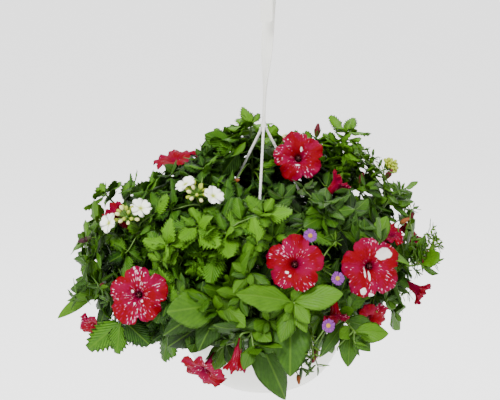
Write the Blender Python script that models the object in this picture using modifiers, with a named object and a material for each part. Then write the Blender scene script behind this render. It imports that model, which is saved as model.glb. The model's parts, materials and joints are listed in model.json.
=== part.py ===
"""A hanging pot planted with petunias, verbena and small daisies, on a three-legged hanger.

All sizes are millimetres until a mesh is made. The origin is the middle of the pot's base, +Z is up,
and -Y is the side that faces the viewer. Everything green or in flower grows by the same rule: a stem
arches from its hole in the soil to a tip, leaves stand on it where they clear whatever is already
there, and each bloom sits in a calyx at the end of its stalk.
"""
import math
import random

import bmesh
import bpy
from mathutils import Matrix, Vector
from mathutils.bvhtree import BVHTree

MM = 0.001
GAP = 0.3
UP = Vector((0, 0, 1))

# Pot
RIM_RADIUS = 115.0
RIM_HEIGHT = 118.0
RIM_WIDTH = 9.0
RIM_DEPTH = 3.0
BASE_RADIUS = 46.0
WALL = 2.0
POT_SIDES = 32
DRAIN_RADIUS = 4.0
DRAIN_CIRCLE = 30.0
DRAINS = 4

# Soil
SOIL_HEIGHT = 104.0
MOUND = 5.0
ROOT_DEPTH = 12.0
HOLE_CLEARANCE = 0.9
HOLE_SIDES = 5
ROOT_CIRCLE = 86.0

# Hanger
LEG_AZIMUTHS = (-5.5, 114.5, 234.5)
LEG_RADIUS = 1.8
LEG_CIRCLE = 110.5
TAB_LENGTH = 6.0
FOOT_LENGTH = 11.0
FOOT_DROP = 2.4
SHOULDER_RADIUS = 5.0
SHOULDER_DROP = 10.0
ANKLE_RISE = 9.0
HUB_RADIUS = 3.6
HUB_LENGTH = 7.0
HUB_HEIGHT = 328.0
BAND_WIDTH = 15.0
BAND_THICKNESS = 2.2
BAND_LEAN = 9.0
BAND_TWIST = math.radians(60.0)
NECK_WIDTH = 4.2
NECK_THICKNESS = 4.0
CROWN_HEIGHT = 527.0
HOOK_RADIUS = 14.0
HOOK_TURN = math.radians(13.0)
HOOK_TIP_HEIGHT = 452.0

# Canopy, the rounded mass that leaves turn their faces out of
CANOPY_RADIUS = 210.0
CANOPY_RISE = 175.0
CANOPY_BASE = 110.0

# Plants
STEM_RADIUS = 2.1
TWIG_RADIUS = 1.2
STALK_RADIUS = 0.9
KNOB_RADIUS = 2.3
BLADE_THICKNESS = 1.4
RIDGE = 0.7
BLADE_CLEARANCE = 0.9
LOBE_WIDTH = 3.0
STEM_SIDES = 3
STEM_POINTS = 6
STALK_POINTS = 4
PETAL_THICKNESS = 0.9
TUBE_LENGTH = 27.0
TUBE_FOOT_RADIUS = 2.6
TUBE_MOUTH_RADIUS = 4.6
SEPAL_REACH = 8.0
SEPAL_RISE = 11.0
CUP_RADIUS = 3.9
CUP_DEPTH = 5.0
FLORET_RADIUS = 13.0
FLORET_THICKNESS = 1.6
HEAD_CORE_LENGTH = 8.0
HEAD_CORE_RADIUS = 4.2
HEAD_BUDS = 8
HEAD_BUD_LENGTH = 12.0
HEAD_BUD_RADIUS = 2.1
DAISY_RADIUS = 7.5
DAISY_RAYS = 11
DAISY_THICKNESS = 1.4
DAISY_DISC_RADIUS = 2.8
BLOOM_SEED = 100
HEAD_SEED = 500
TRIES = 14
FLAT_ANGLE = math.radians(0.3)

# Colours
PETAL_RED = (0.55, 0.01, 0.03)
PETAL_WHITE = (0.85, 0.87, 0.75)
PETAL_MAUVE = (0.35, 0.15, 0.60)
LEAF_GREEN = (0.10, 0.28, 0.02)
POT_WHITE = (0.85, 0.85, 0.80)
SOIL_BROWN = (0.03, 0.02, 0.012)


def vec(x, y, z):
    return Vector((x, y, z))


def polar(azimuth, radius, height):
    """A point by its azimuth in degrees from the viewer's side, towards +X, and its radius."""
    angle = math.radians(azimuth)
    return vec(radius * math.sin(angle), -radius * math.cos(angle), height)


def axes_for(direction, facing):
    """Unit axes along a direction, across it, and square to both on the facing side."""
    along = direction.normalized()
    across = facing.cross(along)
    if across.length < 1e-4:
        across = along.orthogonal()
    across.normalize()
    return along, across, along.cross(across)


def outward(point):
    """The way out of the canopy at a point."""
    spread = CANOPY_RADIUS ** 2
    rise = CANOPY_RISE ** 2
    return vec(point.x / spread, point.y / spread, (point.z - CANOPY_BASE) / rise).normalized()


class Solid:
    """Vertices in millimetres and faces, with a tree to test crossings by."""

    def __init__(self, vertices, faces):
        self.vertices = vertices
        self.faces = faces
        xs, ys, zs = zip(*vertices)
        self.low = (min(xs), min(ys), min(zs))
        self.high = (max(xs), max(ys), max(zs))
        self.tree = None

    def meets(self, other):
        for axis in range(3):
            if self.low[axis] > other.high[axis] or other.low[axis] > self.high[axis]:
                return False
        if self.tree is None:
            self.tree = BVHTree.FromPolygons(self.vertices, self.faces)
        if other.tree is None:
            other.tree = BVHTree.FromPolygons(other.vertices, other.faces)
        return bool(self.tree.overlap(other.tree))


def solid_of(mesh):
    """A Solid with the triangles of a mesh that is in metres."""
    mesh.calc_loop_triangles()
    vertices = [v.co / MM for v in mesh.vertices]
    return Solid(vertices, [tuple(t.vertices) for t in mesh.loop_triangles])


# Blades: leaves, sepals and lobes

BLADE_STATIONS = {
    "petunia": ((0.22, 0.70), (0.46, 1.0), (0.76, 0.60)),
    "petunia_large": ((0.08, 0.14), (0.26, 0.80), (0.48, 1.0), (0.76, 0.62)),
    "verbena": ((0.16, 0.14), (0.38, 1.0), (0.46, 0.62), (0.64, 0.84), (0.72, 0.48)),
    "lobe": ((0.45, 1.0),),
}


class Blade:
    """A leaf as a bent, folded sheet: s runs from root to tip, q from one edge to the other."""

    def __init__(self, kind, root, direction, facing, length, width, droop=0.5, fold=-0.12):
        self.kind = kind
        self.root = root
        self.length = length
        self.width = width
        self.droop = droop
        self.fold = fold
        self.along, self.across, self.normal = axes_for(direction, facing)

    def spine(self, s):
        """The midrib's point and its normal."""
        bend = self.droop * s
        run = self.length * s
        if abs(self.droop) > 1e-3:
            run = self.length * math.sin(bend) / self.droop
        fall = self.length * (1 - math.cos(bend)) / self.droop if abs(self.droop) > 1e-3 else 0.0
        point = self.root + self.along * run - self.normal * fall
        return point, self.along * math.sin(bend) + self.normal * math.cos(bend)

    def point(self, s, half_width, side):
        middle, normal = self.spine(s)
        reach = half_width * side
        lift = abs(reach) * math.sin(self.fold)
        return middle + self.across * (reach * math.cos(self.fold)) + normal * lift

    def solid(self, extra=0.0, start=0.0):
        """A thin blade with a ridge along its midrib and a flat underside."""
        first = self.spine(start)[0]
        last = self.spine(1.0 + extra / self.length)[0]
        vertices = [first, last]
        for s, share in BLADE_STATIONS[self.kind]:
            if s <= start:
                continue
            middle, normal = self.spine(s)
            half_width = self.width * share / 2 + extra / 2
            sunk = normal * (BLADE_THICKNESS - RIDGE + extra) / 2
            vertices.append(self.point(s, half_width, 1) - sunk)
            vertices.append(self.point(s, half_width, -1) - sunk)
            vertices.append(middle + normal * (RIDGE + extra / 2))
        count = (len(vertices) - 2) // 3
        last_left = 2 + 3 * (count - 1)
        faces = [(0, 3, 4), (0, 4, 2), (0, 2, 3)]
        faces += [(last_left + 1, 1, last_left + 2), (last_left + 2, 1, last_left)]
        faces.append((last_left + 1, last_left, 1))
        for left in range(2, last_left, 3):
            right, ridge = left + 1, left + 2
            faces += [(right, right + 3, ridge + 3), (right, ridge + 3, ridge)]
            faces += [(ridge, ridge + 3, left + 3), (ridge, left + 3, left)]
            faces += [(right, left, left + 3), (right, left + 3, right + 3)]
        return Solid(vertices, faces)


def blade_towards(kind, root, tip, facing, width, droop=0.5, fold=-0.12):
    """A blade whose bent midrib ends at the tip."""
    chord = tip - root
    along, across, normal = axes_for(chord, facing)
    lean = droop / 2
    direction = along * math.cos(lean) + normal * math.sin(lean)
    length = chord.length * (lean / math.sin(lean) if lean > 1e-3 else 1.0)
    return Blade(kind, root, direction, normal, length, width, droop, fold)


# Stems


def bezier(points, t):
    a, b, c, d = points
    u = 1 - t
    return a * (u ** 3) + b * (3 * u * u * t) + c * (3 * u * t * t) + d * (t ** 3)


def curve_points(controls, count):
    return [bezier(controls, i / (count - 1)) for i in range(count)]


def tapered_stem(points, radius, tip_radius, sides=STEM_SIDES):
    """A stem that thins towards its tip, as rings lofted along its points."""
    rings = []
    across = (points[1] - points[0]).orthogonal()
    for i, point in enumerate(points):
        ahead = points[min(i + 1, len(points) - 1)]
        along = (ahead - points[max(i - 1, 0)]).normalized()
        across = (across - along * across.dot(along)).normalized()
        over = along.cross(across)
        size = radius + (tip_radius - radius) * i / (len(points) - 1)
        ring = []
        for k in range(sides):
            angle = math.tau * k / sides
            ring.append(point + (across * math.cos(angle) + over * math.sin(angle)) * size)
        rings.append(ring)
    return Solid(*loft(rings))


def tube(points, radius, sides_step):
    """A round bar along points as a solid with closed ends, from a curve object."""
    curve = bpy.data.curves.new("bar_path", "CURVE")
    curve.dimensions = "3D"
    curve.bevel_depth = radius * MM
    curve.bevel_resolution = sides_step
    curve.use_fill_caps = True
    spline = curve.splines.new("POLY")
    spline.points.add(len(points) - 1)
    for i, point in enumerate(points):
        spline.points[i].co = (*(point * MM), 1.0)
    holder = bpy.data.objects.new("bar_path", curve)
    mesh = bpy.data.meshes.new_from_object(holder)
    bm = bmesh.new()
    bm.from_mesh(mesh)
    bmesh.ops.remove_doubles(bm, verts=bm.verts, dist=MM * 0.01)
    bmesh.ops.recalc_face_normals(bm, faces=bm.faces)
    bm.to_mesh(mesh)
    bm.free()
    result = solid_of(mesh)
    bpy.data.objects.remove(holder)
    bpy.data.curves.remove(curve)
    bpy.data.meshes.remove(mesh)
    return result


def loft(rings, closed_ends=True):
    """Rings of equal or doubling counts joined into a skin of triangles."""
    vertices = []
    starts = []
    for ring in rings:
        starts.append(len(vertices))
        vertices += ring
    faces = []
    for ring, following, a, b in zip(rings, rings[1:], starts, starts[1:]):
        n = len(ring)
        m = len(following)
        for i in range(n):
            j = (i + 1) % n
            if m == n:
                faces.append((a + i, a + j, b + j))
                faces.append((a + i, b + j, b + i))
            else:
                faces.append((a + i, b + (2 * i + 1) % m, b + 2 * i))
                faces.append((a + i, a + j, b + (2 * i + 1) % m))
                faces.append((a + j, b + 2 * j, b + (2 * i + 1) % m))
    if closed_ends:
        faces.append(tuple(reversed(range(len(rings[0])))))
        faces.append(tuple(starts[-1] + i for i in range(len(rings[-1]))))
    return vertices, faces


# Flowers


class Bloom:
    """A petunia's funnel: its seat in the calyx, the way it faces, and its waved outline."""

    def __init__(self, centre, facing, radius, seed, openness):
        self.facing = facing.normalized()
        self.radius = radius
        self.openness = openness
        self.seat = centre - self.facing * (TUBE_LENGTH + 2)
        draw = random.Random(seed)
        self.spin = draw.uniform(0, math.tau)
        self.lobe_lift = [draw.uniform(-0.16, 0.10) for _ in range(5)]
        self.lobe_reach = [draw.uniform(0.92, 1.06) for _ in range(5)]
        self.wave = draw.uniform(0.05, 0.09)
        _, self.side, self.over = axes_for(self.facing, UP)

    def at(self, angle, radius, height):
        angle += self.spin
        flat = self.side * math.cos(angle) + self.over * math.sin(angle)
        return self.seat + flat * radius + self.facing * height

    def rim_point(self, turn):
        """A point of the limb's edge at a share of a full turn."""
        lobe = turn * 5
        index = int(lobe) % 5
        within = lobe - int(lobe)
        swell = math.sin(math.pi * within) ** 0.45
        reach = self.lobe_reach[index] * (0.75 + 0.25 * swell)
        lift = self.lobe_lift[index] * math.sin(math.pi * within)
        lift += self.wave * math.cos(math.tau * within * 2) - 0.05
        spread = math.sin(math.pi / 2 * self.openness)
        height = TUBE_LENGTH + self.radius * (lift + 0.9 * (1 - self.openness))
        return self.at(turn * math.tau, self.radius * reach * spread, height)

    def rings(self):
        foot = GAP + PETAL_THICKNESS / 2
        yield [self.at(math.tau * i / 5, TUBE_FOOT_RADIUS, foot) for i in range(5)]
        yield [self.at(math.tau * i / 5, TUBE_MOUTH_RADIUS, TUBE_LENGTH * 0.70) for i in range(5)]
        inner = self.radius * 0.50 * (0.4 + 0.6 * self.openness)
        yield [self.at(math.tau * i / 10, inner, TUBE_LENGTH * 1.02) for i in range(10)]
        count = 20 if self.openness > 0.85 else 10
        yield [self.rim_point(i / count) for i in range(count)]

    def open_mesh(self):
        vertices, faces = loft(list(self.rings()), closed_ends=False)
        faces.append(tuple(reversed(range(5))))
        return vertices, faces


def thick_shell(name, vertices, faces, thickness, group):
    """An open sheet given its thickness by Solidify, as a finished object."""
    mesh = bpy.data.meshes.new(name)
    mesh.from_pydata([v * MM for v in vertices], [], faces)
    bm = bmesh.new()
    bm.from_mesh(mesh)
    bmesh.ops.triangulate(bm, faces=bm.faces)
    bm.to_mesh(mesh)
    bm.free()
    thing = bpy.data.objects.new(name, mesh)
    group.objects.link(thing)
    wall = thing.modifiers.new("petal_thickness", "SOLIDIFY")
    wall.thickness = thickness * MM
    wall.offset = 0.0
    bake(thing)
    return thing


def star(centre, facing, outline, thickness, spin=0.0):
    """A flat flower from its outline of (turn, radius) points, thickest in the middle."""
    along, side, over = axes_for(facing, UP)
    vertices = [centre + along * (thickness / 2), centre - along * (thickness / 2)]
    for turn, radius in outline:
        angle = math.tau * turn + spin
        flat = side * math.cos(angle) + over * math.sin(angle)
        vertices.append(centre + flat * radius)
    n = len(outline)
    faces = []
    for i in range(n):
        j = (i + 1) % n
        faces.append((0, 2 + i, 2 + j))
        faces.append((1, 2 + j, 2 + i))
    return Solid(vertices, faces)


def egg(centre, axis, length, radius, sides=4):
    """A bud: a long ellipsoid of two rings between its pointed ends."""
    bm = bmesh.new()
    bmesh.ops.create_uvsphere(bm, u_segments=sides, v_segments=3, radius=1.0)
    bmesh.ops.triangulate(bm, faces=bm.faces)
    ring_radius = math.sin(math.pi / 3)
    along, side, over = axes_for(axis, UP)
    vertices = []
    for v in bm.verts:
        flat = (side * v.co.x + over * v.co.y) * (radius / ring_radius)
        vertices.append(centre + flat + along * (v.co.z * length / 2))
    faces = [tuple(v.index for v in face.verts) for face in bm.faces]
    bm.free()
    return Solid(vertices, faces)


def calyx(seat, facing):
    """Five pointed sepals round a cup that the funnel stands in."""
    along, side, over = axes_for(facing, UP)

    def at(turn, radius, height):
        angle = math.tau * turn / 5
        return seat + (side * math.cos(angle) + over * math.sin(angle)) * radius + along * height

    vertices = [seat - along * CUP_DEPTH]
    faces = [(1, 4, 7, 10, 13)]
    for i in range(5):
        vertices.append(at(i, CUP_RADIUS, 0))
        vertices.append(at(i + 0.5, SEPAL_REACH, SEPAL_RISE))
        vertices.append(at(i + 0.5, CUP_RADIUS + 0.9, -0.8))
        notch = 1 + 3 * i
        tip = notch + 1
        back = notch + 2
        following = 1 + 3 * ((i + 1) % 5)
        faces += [(notch, tip, following), (notch, back, tip), (tip, back, following)]
        faces += [(notch, 0, back), (back, 0, following)]
    return Solid(vertices, faces)


# Blender objects


def clear_scene():
    for thing in list(bpy.data.objects):
        bpy.data.objects.remove(thing)


def bake(thing):
    """Replace an object's modifiers by their result."""
    bpy.context.view_layer.update()
    graph = bpy.context.evaluated_depsgraph_get()
    mesh = bpy.data.meshes.new_from_object(thing.evaluated_get(graph))
    old = thing.data
    thing.modifiers.clear()
    thing.data = mesh
    bpy.data.meshes.remove(old)


def object_of(solid, name, group):
    mesh = bpy.data.meshes.new(name)
    mesh.from_pydata([v * MM for v in solid.vertices], [], solid.faces)
    bm = bmesh.new()
    bm.from_mesh(mesh)
    bmesh.ops.recalc_face_normals(bm, faces=bm.faces)
    bm.to_mesh(mesh)
    bm.free()
    thing = bpy.data.objects.new(name, mesh)
    group.objects.link(thing)
    return thing


def shells_of(bm):
    """The connected groups of faces, smallest first."""
    todo = set(bm.faces)
    shells = []
    while todo:
        front = [todo.pop()]
        shell = list(front)
        while front:
            face = front.pop()
            for edge in face.edges:
                for other in edge.link_faces:
                    if other in todo:
                        todo.remove(other)
                        shell.append(other)
                        front.append(other)
        shells.append(shell)
    return sorted(shells, key=len)


def main_body(mesh, flatten):
    """The union's main body in as few triangles as its form needs, or None if that leaves it open."""
    bm = bmesh.new()
    bm.from_mesh(mesh)
    bmesh.ops.remove_doubles(bm, verts=bm.verts, dist=MM * 0.002)
    if flatten:
        bmesh.ops.dissolve_limit(bm, angle_limit=FLAT_ANGLE, verts=bm.verts, edges=bm.edges)
    bmesh.ops.triangulate(bm, faces=bm.faces)
    body = shells_of(bm)[-1]
    kept = {v for face in body for v in face.verts}
    bmesh.ops.delete(bm, geom=[v for v in bm.verts if v not in kept], context="VERTS")
    bmesh.ops.delete(bm, geom=[e for e in bm.edges if not e.link_faces], context="EDGES")
    closed = all(len(edge.link_faces) == 2 for edge in bm.edges)
    clean = bpy.data.meshes.new(mesh.name)
    bm.to_mesh(clean)
    bm.free()
    return clean if closed else None


def fuse(name, solids, group):
    """One body from crossing solids: a Boolean union on a collection, applied."""
    work = bpy.data.collections.new(name + "_pieces")
    bpy.context.scene.collection.children.link(work)
    first = object_of(solids[0], name, group)
    start = first.data
    for i, solid in enumerate(solids[1:]):
        object_of(solid, f"{name}_piece_{i}", work)
    for solver, flatten in (("MANIFOLD", True), ("MANIFOLD", False), ("EXACT", True), ("EXACT", False)):
        first.data = start.copy()
        union = first.modifiers.new("fuse", "BOOLEAN")
        union.operand_type = "COLLECTION"
        union.operation = "UNION"
        union.solver = solver
        union.collection = work
        bake(first)
        body = main_body(first.data, flatten)
        if body:
            first.data = body
            break
    for thing in list(work.objects):
        mesh = thing.data
        bpy.data.objects.remove(thing)
        bpy.data.meshes.remove(mesh)
    bpy.data.collections.remove(work)
    return first


def cut(thing, cutters):
    """Take every object of a collection out of an object, and remove the collection."""
    take = thing.modifiers.new("cut", "BOOLEAN")
    take.operand_type = "COLLECTION"
    take.operation = "DIFFERENCE"
    take.solver = "EXACT"
    take.collection = cutters
    bake(thing)
    for cutter in list(cutters.objects):
        bpy.data.objects.remove(cutter)
    bpy.data.collections.remove(cutters)


def material(name, colour, roughness):
    made = bpy.data.materials.new(name)
    made.use_nodes = True
    shader = made.node_tree.nodes["Principled BSDF"]
    shader.inputs["Base Color"].default_value = (*colour, 1.0)
    shader.inputs["Roughness"].default_value = roughness
    made.diffuse_color = (*colour, 1.0)
    return made


def turned(name, profile, group, sides):
    """A turned solid from a profile that runs down its outer side, top to bottom."""
    mesh = bpy.data.meshes.new(name)
    points = [(r * MM, 0.0, z * MM) for r, z in profile]
    closed = profile[0][0] > 0.01
    edges = [(i, i + 1) for i in range(len(points) - 1)]
    if closed:
        edges.append((len(points) - 1, 0))
    mesh.from_pydata(points, edges, [])
    thing = bpy.data.objects.new(name, mesh)
    group.objects.link(thing)
    screw = thing.modifiers.new("turn", "SCREW")
    screw.axis = "Z"
    screw.steps = sides
    screw.render_steps = sides
    screw.use_merge_vertices = True
    screw.merge_threshold = 0.00001
    screw.use_smooth_shade = False
    bake(thing)
    return thing


def rod(start, end, radius, sides, group, name):
    """A round bar between two points."""
    bm = bmesh.new()
    length = (end - start).length * MM
    bmesh.ops.create_cone(
        bm, cap_ends=True, segments=sides, radius1=radius * MM, radius2=radius * MM, depth=length
    )
    mesh = bpy.data.meshes.new(name)
    bm.to_mesh(mesh)
    bm.free()
    turn = (end - start).to_track_quat("Z", "Y").to_matrix().to_4x4()
    mesh.transform(Matrix.Translation((start + end) * (MM / 2)) @ turn)
    group.objects.link(bpy.data.objects.new(name, mesh))


# Pot, soil and hanger


def bowl_radius(share):
    """The bowl's outer radius at a share of a quarter turn from its base to its rim."""
    return BASE_RADIUS + (RIM_RADIUS - RIM_WIDTH + WALL - BASE_RADIUS) * math.sin(share * math.pi / 2)


def bowl_height(share):
    return RIM_HEIGHT * (1 - math.cos(share * math.pi / 2))


def inner_wall():
    """The inside of the bowl from its floor to its rim."""
    wall = [(BASE_RADIUS - 2, WALL)]
    wall.append((bowl_radius(0.42) - WALL, bowl_height(0.42) + WALL / 2))
    top = bowl_radius(0.98) - WALL
    return wall + [(top, RIM_HEIGHT - RIM_DEPTH), (top, RIM_HEIGHT)]


def make_pot(group):
    outer = [(RIM_RADIUS, RIM_HEIGHT)]
    outer.append((RIM_RADIUS, RIM_HEIGHT - RIM_DEPTH))
    outer.append((bowl_radius(0.98), RIM_HEIGHT - RIM_DEPTH))
    shares = (0.82, 0.62, 0.44, 0.28, 0.13)
    outer += [(bowl_radius(share), bowl_height(share)) for share in shares]
    outer.append((BASE_RADIUS, 0.0))
    outer.append((0.0, 0.0))
    pot = turned("pot", outer + [(0.0, WALL)] + inner_wall(), group, POT_SIDES)
    cutters = bpy.data.collections.new("pot_cutters")
    bpy.context.scene.collection.children.link(cutters)
    for i in range(DRAINS):
        foot = polar(360 / DRAINS * (i + 0.5), DRAIN_CIRCLE, -4)
        rod(foot, foot + UP * 10, DRAIN_RADIUS, 6, cutters, "drain")
    size = vec(TAB_LENGTH + 2 * GAP, 2 * LEG_RADIUS + 2 * GAP, 4 * RIM_DEPTH)
    for azimuth in LEG_AZIMUTHS:
        slot = box_mesh(polar(azimuth, LEG_CIRCLE, RIM_HEIGHT), size, azimuth, "slot")
        cutters.objects.link(bpy.data.objects.new("slot", slot))
    cut(pot, cutters)
    return pot


def box_mesh(centre, size, azimuth, name):
    """A box whose Y side faces out at an azimuth."""
    bm = bmesh.new()
    bmesh.ops.create_cube(bm, size=1.0)
    mesh = bpy.data.meshes.new(name)
    bm.to_mesh(mesh)
    bm.free()
    grow = Matrix.Diagonal((*(size * MM), 1.0))
    turn = Matrix.Rotation(math.radians(azimuth), 4, "Z")
    mesh.transform(Matrix.Translation(centre * MM) @ turn @ grow)
    return mesh


def soil_level(point):
    share = math.hypot(point.x, point.y) / RIM_RADIUS
    return SOIL_HEIGHT + MOUND * (1 - share * share)


def make_soil(group, roots):
    floor, high, lip, _ = inner_wall()
    share = (SOIL_HEIGHT - high[1]) / (lip[1] - high[1])
    edge = high[0] + (lip[0] - high[0]) * share
    profile = [(0.0, soil_level(UP))]
    for spot in (edge * 0.45, edge * 0.8):
        profile.append((spot, soil_level(vec(spot, 0, 0))))
    for radius, height in ((edge, SOIL_HEIGHT), high):
        profile.append((radius - 1.5 * GAP, height))
    profile.append((floor[0] - GAP, WALL + GAP))
    profile.append((0.0, WALL + GAP))
    soil = turned("soil", profile, group, POT_SIDES)
    cutters = bpy.data.collections.new("soil_cutters")
    bpy.context.scene.collection.children.link(cutters)
    for root in roots:
        floor = vec(root.x, root.y, soil_level(root) - ROOT_DEPTH - GAP)
        radius = STEM_RADIUS + HOLE_CLEARANCE
        rod(floor, floor + UP * (ROOT_DEPTH + 8), radius, HOLE_SIDES, cutters, "root_hole")
    cut(soil, cutters)
    return soil


def band_path():
    """The hanger's strap from its hub, up, over the hook and down to its tip."""
    toward = vec(-math.sin(HOOK_TURN), -math.cos(HOOK_TURN), 0)
    centre_height = CROWN_HEIGHT - HOOK_RADIUS
    climb = []
    for share in (0.0, 0.16, 0.34, 0.52, 0.76, 1.0):
        height = HUB_HEIGHT + (centre_height - HUB_HEIGHT) * share
        lean = vec(BAND_LEAN, BAND_LEAN, 0) * (share ** 1.3)
        climb.append(lean + UP * height)
    centre = climb[-1] + toward * HOOK_RADIUS
    for step in range(1, 8):
        angle = math.pi * step / 8
        climb.append(centre - toward * HOOK_RADIUS * math.cos(angle) + UP * HOOK_RADIUS * math.sin(angle))
    climb.append(centre + toward * HOOK_RADIUS)
    climb.append(centre + toward * (HOOK_RADIUS - 1.0) + UP * (HOOK_TIP_HEIGHT + 10 - centre_height))
    climb.append(centre + toward * (HOOK_RADIUS - 1.5) + UP * (HOOK_TIP_HEIGHT - centre_height))
    return climb, toward


def make_hanger(group):
    path, toward = band_path()
    width_axis = UP.cross(toward).normalized()
    rings = []
    for i, point in enumerate(path):
        before = path[max(i - 1, 0)]
        after = path[min(i + 1, len(path) - 1)]
        along = (after - before).normalized()
        grown = min(1.0, max(0.0, (i - 0.6) / 2.6))
        twist = BAND_TWIST * (1 - grown)
        wide = width_axis * math.cos(twist) + toward * math.sin(twist)
        width = NECK_WIDTH + (BAND_WIDTH - NECK_WIDTH) * grown
        if i == len(path) - 1:
            width = BAND_WIDTH * 0.45
        thick = NECK_THICKNESS + (BAND_THICKNESS - NECK_THICKNESS) * grown
        across = (wide - along * wide.dot(along)).normalized() * (width / 2)
        depth = along.cross(across).normalized() * (thick / 2)
        rings.append([point - across - depth, point + across - depth,
                      point + across + depth, point - across + depth])
    pieces = [Solid(*loft(rings))]
    hub = UP * (HUB_HEIGHT - HUB_LENGTH + 3)
    pieces.append(tube([hub, hub + UP * HUB_LENGTH], HUB_RADIUS, 2))
    for azimuth in LEG_AZIMUTHS:
        top = UP * (HUB_HEIGHT - 1)
        shoulder = polar(azimuth, SHOULDER_RADIUS, HUB_HEIGHT - SHOULDER_DROP)
        ankle = polar(azimuth, LEG_CIRCLE - 1.0, RIM_HEIGHT + ANKLE_RISE)
        heel = polar(azimuth, LEG_CIRCLE, RIM_HEIGHT - RIM_DEPTH - FOOT_DROP / 2 - GAP)
        pieces.append(tube([top, shoulder, ankle, heel], LEG_RADIUS, 1))
        # The bar under the rim that the leg's end can't slip back through.
        foot = box_mesh(heel, vec(FOOT_LENGTH, 2 * LEG_RADIUS, FOOT_DROP), azimuth, "foot")
        pieces.append(solid_of(foot))
    return fuse("hanger", pieces, group)


# Growing


class Garden:
    """Everything already placed, so that what grows next stays clear of it."""

    def __init__(self):
        self.placed = []

    def add(self, node, solid):
        self.placed.append((node, solid))

    def free(self, solid, skip=()):
        for node, other in self.placed:
            if node not in skip and solid.meets(other):
                return False
        return True


class Shoot:
    """One stem with its leaves, buds and flower stalks, fused into one node."""

    def __init__(self, name, kind, tip, leaves, size, aim, seed):
        self.name = name
        self.kind = kind
        self.tip = tip
        self.leaves = leaves
        self.size = size
        self.aim = aim or (outward(tip) + vec(0, 0, (tip.z - 170) / 200)).normalized()
        self.draw = random.Random(seed)
        self.root = None
        self.points = []
        self.solids = []
        self.blades = []

    def on_stem(self, t):
        """The stem's middle at a share of its length, and the way it runs there."""
        last = len(self.points) - 1
        index = min(int(t * last), last - 1)
        step = self.points[index + 1] - self.points[index]
        return self.points[index] + step * (t * last - index), step.normalized()


def shaken(draw, amount):
    """A random vector of up to an amount along each axis."""
    return vec(*(draw.uniform(-1, 1) * amount for _ in range(3)))


def stem_controls(root, tip, aim, sway):
    """A stem that leaves the soil upright and reaches its tip along the aim."""
    span = (tip - root).length
    below = vec(root.x, root.y, soil_level(root) - ROOT_DEPTH)
    rise = ROOT_DEPTH + 0.5 * span
    return (below, below + UP * rise + sway * 0.5, tip - aim * (0.4 * span) + sway, tip)


def grow_stem(shoot, garden):
    """The first stem, of many tried, that clears what is there; its root lies under its tip's side."""
    tip = shoot.tip
    reach = math.hypot(tip.x, tip.y)
    azimuth = math.degrees(math.atan2(tip.x, -tip.y))
    radius = min(ROOT_CIRCLE, 18 + 0.32 * reach + max(0.0, 210 - tip.z) * 0.16)
    for attempt in range(TRIES * 3):
        swing = shoot.draw.uniform(-1, 1) * min(14, attempt * 1.2)
        root = polar(azimuth + swing, radius + shoot.draw.uniform(-1, 1) * attempt * 0.6, 0)
        sway = shaken(shoot.draw, attempt * 2.0)
        nudge = shaken(shoot.draw, attempt * 0.9)
        controls = stem_controls(root, tip + nudge, shoot.aim, sway)
        points = curve_points(controls, STEM_POINTS)
        fat = tapered_stem(points, STEM_RADIUS + BLADE_CLEARANCE, TWIG_RADIUS + BLADE_CLEARANCE, 4)
        if garden.free(fat):
            break
    shoot.points = points
    shoot.root = root
    lead = points[0] + UP * (ROOT_DEPTH + 3)
    solid = tapered_stem([points[0], lead] + points[1:], STEM_RADIUS, TWIG_RADIUS)
    shoot.solids.append(solid)
    garden.add(shoot.name, solid)
    garden.add(shoot.name, fat_hole(root))


def fat_hole(root):
    """Keeps other roots a hole's width away."""
    floor = vec(root.x, root.y, soil_level(root) - ROOT_DEPTH)
    return tapered_stem([floor, floor + UP * (ROOT_DEPTH + 1)], STEM_RADIUS + 2.5, STEM_RADIUS + 2.5, 6)


def try_blade(shoot, garden, blade):
    """Add a blade if it clears its neighbours, and its own stem beyond the root."""
    others = blade.solid(extra=BLADE_CLEARANCE)
    if not garden.free(others, skip=(shoot.name,)):
        return False
    own = blade.solid(extra=BLADE_CLEARANCE, start=0.14)
    for node, other in garden.placed:
        if node == shoot.name and own.meets(other):
            return False
    solid = blade.solid()
    shoot.solids.append(solid)
    shoot.blades.append(blade)
    garden.add(shoot.name, solid)
    return True


LEAF_RULES = {
    "petunia": {"first": 0.40, "spread": (95, -95, 35, -35), "open": (26, 72), "ratio": (0.52, 0.68)},
    "verbena": {"first": 0.42, "spread": (85, -85, 30, -30), "open": (28, 75), "ratio": (0.60, 0.78)},
}


def leaf_directions(shoot, t, turn, opening):
    """The way a leaf leaves the stem, by its turn round the stem from the canopy's outside."""
    point, tangent = shoot.on_stem(t)
    facing = outward(point)
    along, across, normal = axes_for(tangent, facing)
    angle = math.radians(turn)
    radial = normal * math.cos(angle) + across * math.sin(angle)
    lean = math.radians(opening)
    return point, along * math.cos(lean) + radial * math.sin(lean), facing


def grow_leaves(shoot, garden):
    rule = LEAF_RULES[shoot.kind]
    for i in reversed(range(shoot.leaves)):
        share = (i + 0.5) / shoot.leaves
        t = min(0.99, rule["first"] + (1.03 - rule["first"]) * share ** 0.8)
        for attempt in range(TRIES):
            turn = rule["spread"][i % 4] + shoot.draw.uniform(-1, 1) * (18 + 4 * attempt)
            low, high = rule["open"]
            opening = high - (high - low) * share ** 2 + shoot.draw.uniform(-14, 14)
            point, direction, facing = leaf_directions(shoot, t, turn, opening)
            tilt = shaken(shoot.draw, 0.3)
            shrink = 1 - 0.035 * attempt
            length = shoot.size * shrink * shoot.draw.uniform(0.8, 1.1) * (1.1 - 0.3 * share)
            width = length * shoot.draw.uniform(*rule["ratio"])
            blade = Blade(shoot.kind, point, direction, facing + tilt, length, width,
                          shoot.draw.uniform(0.2, 0.8), -shoot.draw.uniform(0.08, 0.2))
            if try_blade(shoot, garden, blade):
                break


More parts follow.
